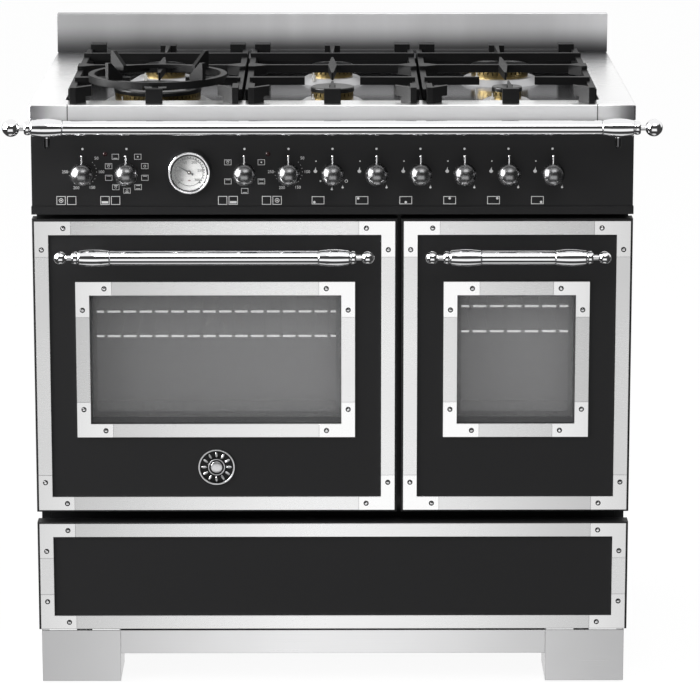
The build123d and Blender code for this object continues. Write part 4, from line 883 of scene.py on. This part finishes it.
class COOKER_OT_trims(bpy.types.Operator):
    """Round the edges of the door and drawer trims and set their screws"""

    bl_idname = "cooker.trims"
    bl_label = "Trims"

    def execute(self, context):
        head = screw_head()
        for body in ("left_door", "right_door", "drawer"):
            piece = rounded_copy(f"{body}_trim", f"{body}_frame", sizes().trim_edge)
            dress(piece, "brushed_trim", body, (f"{body}_trim",))
            spots = [(x, PLATE_FACE, z) for x, z in screw_spots(frame["nodes"][f"{body}_screws"])]
            heads = copies(head, spots)
            for index, copy in enumerate(heads):
                copy.rotation_euler.y = index * SCREW_TURN
            heads = joined(heads, f"{body}_fixings")
            dress(heads, "screw_chrome", body, (f"{body}_screws",))
        discard(head)
        return {"FINISHED"}


class COOKER_OT_grates(bpy.types.Operator):
    """Round the cast pan supports and the wok ring"""

    bl_idname = "cooker.grates"
    bl_label = "Pan supports"

    def execute(self, context):
        piece = rounded_copy("pan_supports", "cast_grates", sizes().casting_edge, 3)
        dress(piece, "cast_iron", "cooker", ("pan_supports",))
        return {"FINISHED"}


# Panel print: each mark is modelled once, upright and facing the front

def flat_plate(width, height):
    bpy.ops.mesh.primitive_plane_add(size=1, rotation=TO_FRONT)
    plate = bpy.context.object
    placed(plate, scale=(width, height, 1))
    return plate


def opened(plate, line):
    """Inset a flat plate by the line and take out its middle."""
    pick(plate, anywhere)
    bpy.ops.mesh.inset(thickness=line, depth=0)
    bpy.ops.mesh.delete(type="FACE")
    bpy.ops.object.mode_set(mode="OBJECT")
    return plate


def outline_box(width, height, line):
    return opened(flat_plate(width, height), line)


def dot(radius, points=16):
    bpy.ops.mesh.primitive_circle_add(vertices=points, radius=radius, fill_type="NGON",
                                      rotation=TO_FRONT)
    disc = bpy.context.object
    fix_place(disc)
    return disc


def loop(radius, line):
    return opened(dot(radius, 20), line)


def flame(height):
    """A drop with its tip drawn up and bent over."""
    radius = height * 0.30
    drop = dot(radius, 14)
    tip = max(point.co.z for point in drop.data.vertices)
    pick(drop, lambda point: point.co.z > tip * 0.95, points=True)
    bpy.ops.transform.translate(value=(radius * 0.25, 0, height - 2 * radius))
    pick(drop, lambda point: tip * 0.5 < point.co.z <= tip, points=True)
    bpy.ops.transform.resize(value=(0.62, 1, 1))
    bpy.ops.object.mode_set(mode="OBJECT")
    return drop


def teeth(width, height, count):
    """A row of pointed teeth for the grill sign."""
    pitch = width / count
    tooth = dot(height, 3)
    placed(tooth, scale=(pitch / (1.8 * height), 1, 0.7))
    row = copies(tooth, [((index - (count - 1) / 2) * pitch, 0, 0) for index in range(count)])
    discard(tooth)
    return joined(row, "teeth")


def number(text, height):
    bpy.ops.object.text_add(rotation=TO_FRONT)
    writing = bpy.context.object
    writing.data.body = text
    writing.data.size = height
    writing.data.align_x = "CENTER"
    writing.data.align_y = "CENTER"
    writing.data.resolution_u = 3
    only(writing)
    bpy.ops.object.convert(target="MESH")
    writing = bpy.context.object
    fix_place(writing)
    return writing


def around(angle, radius):
    """A point round a knob, clockwise from the top."""
    return sin(radians(angle)) * radius, cos(radians(angle)) * radius


class Printer:
    """Gathers marks on one plane facing the front and makes them one inked piece."""

    def __init__(self, plane):
        self.plane = plane
        self.marks = []
        self.models = {}

    def stamp(self, key, make, x, z):
        if key not in self.models:
            self.models[key] = make()
        self.marks += copies(self.models[key], [(x, self.plane, z)])

    def finish(self, name, thickness):
        discard(*self.models.values())
        piece = joined(self.marks, name)
        modified(piece, "SOLIDIFY", thickness=thickness, offset=1)
        return piece


# Print: sizes of the marks and their places from a knob's axis
OFF_DOT, OFF_RISE = 0.0017, 0.0345
PLAN_DROP = 0.043
SIGN_BOX, SIGN_LINE = (0.0105, 0.0084), 0.7
SIGN_BAR, SIGN_TEETH, SIGN_SHIFT = 0.0062, (0.0066, 0.0011, 4), 0.0024
SIGN_DOT, SIGN_LOOP = 0.0012, 0.0019
SQUARE_BOX, SQUARE_PLACES = (0.0136, 0.0130), (-0.0330, -0.0172)
SQUARE_LOOP, SQUARE_BAND, BAND_DROP = 0.0034, (0.0100, 0.0034), 0.0028
TICK_DOT, TICK_RING = 0.0005, 0.0205
PLAN_BOX, PLAN_PLACE = (0.0187, 0.0120), -0.0216
PLAN_DOT, PLAN_SIDE, PLAN_REACH = 0.0019, 0.0056, 0.0029
OVEN_SIGNS = {
    "main_function": (36, 0.0283, ("dot", "loop", "top", "both", "loop base", "loop top", "teeth",
                                   "teeth loop", "base")),
    "second_function": (60, 0.0288, ("dot", "both", "base", "teeth", "teeth loop")),
}
TEMPERATURES = (("50", 0.0205, 0.0205), ("100", 0.0275, 0.0), ("150", 0.0135, -0.0235),
                ("200", -0.0100, -0.0240), ("250", -0.0265, 0.0))
OVEN_SQUARES = {"main_temperature": ("loop", ""), "main_function": ("band", ""),
                "second_function": ("", "band"), "second_temperature": ("", "loop")}
BURNER_MARKS = {"wok": (-1, -1), "left_rear": (-1, 1), "centre_front": (0, -1),
                "centre_rear": (0, 1), "right_rear": (1, 1), "right_front": (1, -1)}


def stamp_sign(printer, sign, x, z, line):
    """The inside of one oven pictogram."""
    if "dot" in sign:
        printer.stamp("sign dot", lambda: dot(SIGN_DOT), x, z)
    if "loop" in sign:
        printer.stamp("sign loop", lambda: loop(SIGN_LOOP, line * SIGN_LINE), x, z)
    for word, side in (("top", 1), ("base", -1)):
        if word in sign or "both" in sign:
            printer.stamp("sign bar", lambda: flat_plate(SIGN_BAR, line), x, z + side * SIGN_SHIFT)
    if "teeth" in sign:
        printer.stamp("sign teeth", lambda: teeth(*SIGN_TEETH), x, z + SIGN_SHIFT)


class COOKER_OT_oven_print(bpy.types.Operator):
    """Print the oven signs and temperatures on the control panel"""

    bl_idname = "cooker.oven_print"
    bl_label = "Oven print"

    def execute(self, context):
        size = sizes()
        line = size.line
        printer = Printer(FASCIA_FACE)
        for knob, spot in KNOBS.items():
            if knob in BURNER_MARKS:
                continue
            printer.stamp("off", lambda: dot(OFF_DOT), spot.x, spot.z + OFF_RISE)
            if knob in OVEN_SIGNS:
                step, radius, signs = OVEN_SIGNS[knob]
                for index, sign in enumerate(signs, 1):
                    x, z = around(index * step, radius)
                    x, z = x + spot.x, z + spot.z
                    printer.stamp("sign", lambda: outline_box(*SIGN_BOX, line * SIGN_LINE), x, z)
                    stamp_sign(printer, sign, x, z, line)
            else:
                for text, x, z in TEMPERATURES:
                    printer.stamp(text, lambda: number(text, size.numeral), spot.x + x, spot.z + z)
                for angle in range(45, 271, 15):
                    x, z = around(angle, TICK_RING)
                    printer.stamp("tick", lambda: dot(TICK_DOT, 8), spot.x + x, spot.z + z)
            for side, filling in zip(SQUARE_PLACES, OVEN_SQUARES[knob]):
                x, z = spot.x + side, spot.z - PLAN_DROP
                printer.stamp("square", lambda: outline_box(*SQUARE_BOX, line), x, z)
                if filling == "loop":
                    printer.stamp("square loop", lambda: loop(SQUARE_LOOP, line), x, z)
                    printer.stamp("square dot", lambda: dot(SIGN_DOT), x, z)
                if filling == "band":
                    printer.stamp("square band", lambda: flat_plate(*SQUARE_BAND), x, z - BAND_DROP)
        piece = printer.finish("oven_print", size.ink)
        dress(piece, "print_ink")
        return {"FINISHED"}


# Marks round each gas knob, and the wok's own: name, maker and place from the knob's axis
GAS_MARKS = (("off", lambda: dot(OFF_DOT), 0.0, OFF_RISE),
             ("start", lambda: dot(0.0011), -0.0245, 0.0160),
             ("high", lambda: flame(0.0092), -0.0255, 0.0010),
             ("low", lambda: flame(0.0056), 0.0150, -0.0235))
WOK_MARKS = (("inner", lambda: dot(0.0013), -0.0180, -0.0140),
             ("inner ring", lambda: loop(0.0024, sizes().line * 0.8), 0.0205, -0.0140),
             ("low", lambda: flame(0.0056), -0.0010, -0.0262))


class COOKER_OT_burner_print(bpy.types.Operator):
    """Print the flame signs and burner plans on the control panel"""

    bl_idname = "cooker.burner_print"
    bl_label = "Burner print"

    def execute(self, context):
        size = sizes()
        line = size.line
        printer = Printer(FASCIA_FACE)
        for knob, (across, up) in BURNER_MARKS.items():
            spot = KNOBS[knob]
            for key, make, dx, dz in GAS_MARKS:
                printer.stamp(key, make, spot.x + dx, spot.z + dz)
            x, z = spot.x + PLAN_PLACE, spot.z - PLAN_DROP
            printer.stamp("plan", lambda: outline_box(*PLAN_BOX, line), x, z)
            printer.stamp("plan dot", lambda: dot(PLAN_DOT), x + across * PLAN_SIDE,
                          z + up * PLAN_REACH)
            for key, make, dx, dz in WOK_MARKS if knob == "wok" else ():
                printer.stamp(key, make, spot.x + dx, spot.z + dz)
        piece = printer.finish("burner_print", size.ink)
        dress(piece, "print_ink")
        return {"FINISHED"}


LAMP_SKIRT = 0.0006
LAMP_PLACES, LAMP_RISE = (-0.338, -0.096), 0.027


class COOKER_OT_indicator_lamps(bpy.types.Operator):
    """Two small domed lamps on the control panel"""

    bl_idname = "cooker.indicator_lamps"
    bl_label = "Indicator lamps"

    def execute(self, context):
        radius = sizes().lamp
        bpy.ops.mesh.primitive_uv_sphere_add(segments=28, ring_count=14, radius=radius,
                                             rotation=TO_FRONT)
        lens = bpy.context.object
        placed(lens, scale=(1, 1, 0.6))
        pick(lens, anywhere)
        bpy.ops.mesh.bisect(plane_co=(0, 0, 0), plane_no=(0, 1, 0), use_fill=True,
                            clear_outer=True)
        pick(lens, lambda face: at_rear(face) and len(face.vertices) > 8)
        bpy.ops.mesh.extrude_region_move(TRANSFORM_OT_translate={"value": (0, LAMP_SKIRT, 0)})
        bpy.ops.transform.resize(value=(1.18, 1, 1.18))
        bpy.ops.mesh.select_all(action="SELECT")
        bpy.ops.mesh.remove_doubles(threshold=1e-6)
        bpy.ops.mesh.normals_make_consistent(inside=False)
        bpy.ops.object.mode_set(mode="OBJECT")
        spots = [(x, FASCIA_FACE - LAMP_SKIRT, KNOB_Z + LAMP_RISE) for x in LAMP_PLACES]
        piece = joined(copies(lens, spots), "indicator_lamps")
        discard(lens)
        smoothed(piece, 50)
        dress(piece, "lamp_red")
        return {"FINISHED"}


CARD_RADIUS, CARD_SHEET = 0.0258, 0.0003
CARD_STEPS = ((0.0016, -0.0002), (0.0080, 0.0), (0.0006, -0.0001))
SCALE_START, SCALE_SWEEP = -135, 270
DEGREES = ("50", "100", "150", "200", "250", "300")
DEGREE_SIZE, DEGREE_RING = 0.0058, 0.0165
TRACK_RADIUS, TRACK_LINE = 0.0211, 0.0008
DIAL_TICKS, DIAL_TICK_RING = 26, 0.0222
DIAL_INK, INK_LIFT = 0.00008, 0.0005
SEAT = 0.0001


class COOKER_OT_gauge_dial(bpy.types.Operator):
    """The thermometer's dial card, its scale and its red mark"""

    bl_idname = "cooker.gauge_dial"
    bl_label = "Gauge dial"

    def execute(self, context):
        x, z = GAUGE_CENTRE.x, GAUGE_CENTRE.z
        card = dot(CARD_RADIUS, 72)
        stepped(card, anywhere, CARD_STEPS)
        card.name = card.data.name = "gauge_card"
        placed(card, (x, DIAL_FACE - SEAT, z))
        modified(card, "SOLIDIFY", thickness=CARD_SHEET, offset=1)
        smoothed(card, 25)
        dress(card, "dial_white")

        bezel = rounded_copy("gauge_case", "gauge_bezel", 0.0013, 4)
        dress(bezel, "polished_chrome", nodes=("gauge_case",))

        printer = Printer(DIAL_FACE - INK_LIFT)
        for index, text in enumerate(DEGREES):
            share = index / (len(DEGREES) - 1)
            dx, dz = around(SCALE_START + share * SCALE_SWEEP, DEGREE_RING)
            printer.stamp(text, lambda: number(text, DEGREE_SIZE), x + dx, z + dz)
        printer.stamp("track", lambda: loop(TRACK_RADIUS, TRACK_LINE), x, z)
        for index in range(DIAL_TICKS):
            share = index / (DIAL_TICKS - 1)
            dx, dz = around(SCALE_START + share * SCALE_SWEEP, DIAL_TICK_RING)
            wide = index % 5 == 0
            printer.stamp(f"tick {wide}", lambda: dot(0.0013 if wide else 0.0009, 8),
                          x + dx, z + dz)
        piece = printer.finish("gauge_scale", DIAL_INK)
        dress(piece, "dial_black")

        printer = Printer(LENS_FRONT - SEAT)
        printer.stamp("gasket", lambda: loop(0.0279, 0.0016), x, z)
        piece = printer.finish("gauge_gasket", 0.0003)
        dress(piece, "black_rubber")

        printer = Printer(NEEDLE_FRONT - SEAT)
        printer.stamp("hub", lambda: dot(0.0027, 24), x, z)
        piece = printer.finish("gauge_hub", 0.0004)
        dress(piece, "dial_brown")

        printer = Printer(DIAL_FACE - INK_LIFT)
        printer.stamp("mark", lambda: teeth(0.0060, 0.0024, 1), x, z - 0.0125)
        piece = printer.finish("gauge_mark", DIAL_INK)
        dress(piece, "dial_red")
        return {"FINISHED"}


MEDALLION_SPOT = (-0.176, 0, 0.341)
MEDALLION_DEPTH = 0.0026
MEDALLION_STEPS = ((0.0019, 0), (0.0006, -0.0014), (0.0120, 0), (0.0004, 0.0012), (0.0012, 0),
                   (0.0004, -0.0012), (0.0020, 0), (0.0004, 0.0010), (0.0040, 0.0005))
PETALS, PETAL_RADIUS, PETAL_SHAPE = 12, 0.0030, (0.66, 0.40, 1.5)
PETAL_LIFT, PETAL_RING = 0.0012, 0.0190


class COOKER_OT_medallion(bpy.types.Operator):
    """A plain turned medallion on the wide door"""

    bl_idname = "cooker.medallion"
    bl_label = "Door medallion"

    def execute(self, context):
        radius = sizes().medallion
        bpy.ops.mesh.primitive_cylinder_add(vertices=80, radius=radius, depth=MEDALLION_DEPTH,
                                            rotation=TO_FRONT)
        plate = bpy.context.object
        placed(plate, (0, DOOR_FACE - MEDALLION_DEPTH / 2, 0))
        stepped(plate, at_front, MEDALLION_STEPS)
        bevelled(plate, 0.0003)
        bpy.ops.mesh.primitive_uv_sphere_add(segments=16, ring_count=8, radius=PETAL_RADIUS)
        petal = bpy.context.object
        placed(petal, (0, DOOR_FACE - PETAL_LIFT, PETAL_RING), PETAL_SHAPE)
        petals = copies(petal, [(0, 0, 0)] * PETALS)
        for index, copy in enumerate(petals):
            copy.rotation_euler.y = index * 2 * pi / PETALS
        discard(petal)
        piece = joined([plate, *petals], "door_medallion")
        placed(piece, MEDALLION_SPOT)
        smoothed(piece, 30)
        dress(piece, "medallion_relief", "left_door")
        return {"FINISHED"}


REAR_HEAD_RADIUS, REAR_HEAD_DEPTH = 0.0048, 0.0030
REAR_HEAD_STEPS = ((0.0010, 0.0006), (0.0022, 0), (0.0003, -0.0012))
REAR_MARGIN, REAR_COLUMNS = 0.02, 5
COVER_SIZE = (0.110, 0.026, 0.130)
COVER_SPOT = (0.330, REAR_FACE + COVER_SIZE[1] / 2, 0.250)
COVER_STEPS = ((0.006, 0.002), (0.012, 0), (0.002, -0.0015))


class COOKER_OT_rear_fixings(bpy.types.Operator):
    """Screws round the back panel and the cover over the mains terminals"""

    bl_idname = "cooker.rear_fixings"
    bl_label = "Rear fixings"

    def execute(self, context):
        bpy.ops.mesh.primitive_cylinder_add(vertices=20, radius=REAR_HEAD_RADIUS,
                                            depth=REAR_HEAD_DEPTH, rotation=TO_REAR)
        head = bpy.context.object
        placed(head, (0, REAR_HEAD_DEPTH / 2, 0))
        stepped(head, at_rear, REAR_HEAD_STEPS)
        smoothed(head, 30)
        low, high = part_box("back_panel")
        pitch = (high.x - low.x - 2 * REAR_MARGIN) / (REAR_COLUMNS - 1)
        columns = [low.x + REAR_MARGIN + index * pitch for index in range(REAR_COLUMNS)]
        rows = (low.z + REAR_MARGIN, (low.z + high.z) / 2, high.z - REAR_MARGIN)
        spots = [(x, REAR_FACE, z) for x in columns for z in rows
                 if z != rows[1] or x in (columns[0], columns[-1])]
        piece = joined(copies(head, spots), "back_panel_screws")
        discard(head)
        dress(piece, "galvanised_steel")

        bpy.ops.mesh.primitive_cube_add(size=1)
        cover = bpy.context.object
        placed(cover, COVER_SPOT, COVER_SIZE)
        stepped(cover, at_rear, COVER_STEPS)
        cover.name = cover.data.name = "terminal_cover"
        bevelled(cover, 0.0012)
        smoothed(cover, 30)
        dress(cover, "black_plastic")
        return {"FINISHED"}


# Stage

def facing(spot, target):
    return (Vector(target) - Vector(spot)).to_track_quat("-Z", "Y").to_euler()


def softbox(name, spot, target, size, power, diffuse=True, glossy=True):
    bpy.ops.object.light_add(type="AREA", location=spot, rotation=facing(spot, target))
    lamp = bpy.context.object
    lamp.name = lamp.data.name = name
    lamp.data.shape = "RECTANGLE"
    lamp.data.size, lamp.data.size_y = size
    lamp.data.energy = power
    lamp.visible_diffuse, lamp.visible_glossy = diffuse, glossy


def over(tree, height, degrees, soft=3.0):
    """1 above an elevation, with a soft edge."""
    return ramp(tree, height, sin(radians(degrees - soft)), sin(radians(degrees + soft)))


# Elevations in degrees where the surroundings change for polished metal
CEILING_FRONT, CEILING_REAR = 37.0, 2.0
CARD_FOOT, CARD_HEAD = -36.0, -4.0
GROUND_EDGE = -72.0


def studio_reflection(tree):
    """What polished metal sees: a white ceiling, a pale card low in front and behind, a pale
    ground and dark walls."""
    coords = tree.nodes.new("ShaderNodeTexCoord")
    split = tree.nodes.new("ShaderNodeSeparateXYZ")
    tree.links.new(coords.outputs["Generated"], split.inputs[0])
    x, y, z = split.outputs
    rear = ramp(tree, y, 0.0, 0.4)
    ceiling = faded(tree, rear, over(tree, z, CEILING_FRONT), over(tree, z, CEILING_REAR))
    low = sums(tree, "SUBTRACT", over(tree, z, CARD_FOOT), over(tree, z, CARD_HEAD))
    middle = inverse(tree, ramp(tree, sums(tree, "ABSOLUTE", x), 0.42, 0.62))
    card = sums(tree, "MULTIPLY", low, middle)
    ground = sums(tree, "MULTIPLY", inverse(tree, over(tree, z, GROUND_EDGE)), 0.7)
    pale = sums(tree, "MAXIMUM", sums(tree, "MAXIMUM", ceiling, card), ground)
    return sums(tree, "MULTIPLY_ADD", pale, 0.95, 0.05)


def seen_mask(tree):
    """1 for camera, glossy and transmission rays."""
    path = tree.nodes.new("ShaderNodeLightPath")
    camera, glossy, through = (path.outputs[f"Is {kind} Ray"]
                               for kind in ("Camera", "Glossy", "Transmission"))
    return sums(tree, "MAXIMUM", camera, sums(tree, "MAXIMUM", glossy, through))


class COOKER_OT_stage(bpy.types.Operator):
    """Pale floor, white surroundings, softboxes and the camera"""

    bl_idname = "cooker.stage"
    bl_label = "Stage"

    def execute(self, context):
        scene = context.scene
        stage = scene.cooker_stage
        scene.view_settings.view_transform = "Standard"

        world = bpy.data.worlds.new("studio")
        scene.world = world
        world.use_nodes = True
        tree = world.node_tree
        sky = tree.nodes["Background"]
        sky.inputs["Color"].default_value = grey(1)
        path = tree.nodes.new("ShaderNodeLightPath")
        seen = faded(tree, path.outputs["Is Glossy Ray"], 1.0, studio_reflection(tree))
        tree.links.new(faded(tree, seen_mask(tree), stage.ambient, seen), sky.inputs["Strength"])

        bpy.ops.mesh.primitive_plane_add(size=60)
        floor = bpy.context.object
        floor.name = "floor"
        paper = bpy.data.materials.new("floor_paper")
        paper.use_nodes = True
        tree = paper.node_tree
        lit = tree.nodes["Principled BSDF"]
        lit.inputs["Base Color"].default_value = grey(0.86)
        lit.inputs["Roughness"].default_value = 0.9
        lit.inputs["Specular IOR Level"].default_value = 0.0
        glow = tree.nodes.new("ShaderNodeEmission")
        glow.inputs["Strength"].default_value = 1.06
        blend = tree.nodes.new("ShaderNodeMixShader")
        tree.links.new(sums(tree, "MULTIPLY", seen_mask(tree), 0.88), blend.inputs["Fac"])
        tree.links.new(lit.outputs[0], blend.inputs[1])
        tree.links.new(glow.outputs[0], blend.inputs[2])
        tree.links.new(blend.outputs[0], tree.nodes["Material Output"].inputs["Surface"])
        floor.data.materials.append(paper)
        floor.visible_glossy = False

        middle = (0, 0, 0.6)
        softbox("left_softbox", (-2.4, -1.6, 1.25), middle, (1.5, 1.7), stage.side_power,
                glossy=False)
        softbox("left_card", (-2.67, -0.68, 1.75), (0, -0.3, 0.8), (2.8, 2.4), stage.card_power,
                diffuse=False)
        softbox("top_softbox", (0.2, -0.2, 3.2), middle, (3.0, 2.4), stage.top_power, glossy=False)
        softbox("front_softbox", (0.8, -3.4, 4.3), middle, (3.2, 1.8), stage.front_power)

        spot = (0, WORKTOP_FRONT - stage.distance, stage.height)
        bpy.ops.object.camera_add(location=spot,
                                  rotation=facing(spot, (stage.side_aim, WORKTOP_FRONT, stage.aim)))
        camera = bpy.context.object
        camera.data.lens = stage.lens
        camera.data.clip_end = 200
        scene.camera = camera
        return {"FINISHED"}


PIECES = (COOKER_OT_finishes, COOKER_OT_sheet_metal, COOKER_OT_trims, COOKER_OT_grates,
          COOKER_OT_oven_print, COOKER_OT_burner_print, COOKER_OT_indicator_lamps,
          COOKER_OT_gauge_dial, COOKER_OT_medallion, COOKER_OT_rear_fixings, COOKER_OT_stage)
SETTINGS = (("cooker_sizes", CookerSizes), ("cooker_colours", CookerColours),
            ("cooker_stage", CookerStage))


class COOKER_PT_build(bpy.types.Panel):
    """Sidebar panel with the settings and one button for each step"""

    bl_idname = "COOKER_PT_build"
    bl_label = "Range cooker"
    bl_space_type = "VIEW_3D"
    bl_region_type = "UI"
    bl_category = "Cooker"

    def draw(self, context):
        for piece in PIECES:
            self.layout.operator(piece.bl_idname)
        for label, group in SETTINGS:
            box = self.layout.box()
            for setting in group.__annotations__:
                box.prop(getattr(context.scene, label), setting)


def register():
    for label, group in SETTINGS:
        bpy.utils.register_class(group)
        setattr(bpy.types.Scene, label, PointerProperty(type=group))
    for piece in (*PIECES, COOKER_PT_build):
        bpy.utils.register_class(piece)


def unregister():
    for piece in (COOKER_PT_build, *reversed(PIECES)):
        bpy.utils.unregister_class(piece)
    for label, group in reversed(SETTINGS):
        delattr(bpy.types.Scene, label)
        bpy.utils.unregister_class(group)


def main():
    register()
    bpy.ops.cooker.finishes()
    bpy.ops.cooker.sheet_metal()
    bpy.ops.cooker.trims()
    bpy.ops.cooker.grates()
    bpy.ops.cooker.oven_print()
    bpy.ops.cooker.burner_print()
    bpy.ops.cooker.indicator_lamps()
    bpy.ops.cooker.gauge_dial()
    bpy.ops.cooker.medallion()
    bpy.ops.cooker.rear_fixings()
    bpy.ops.cooker.stage()


if __name__ == "__main__":
    main()
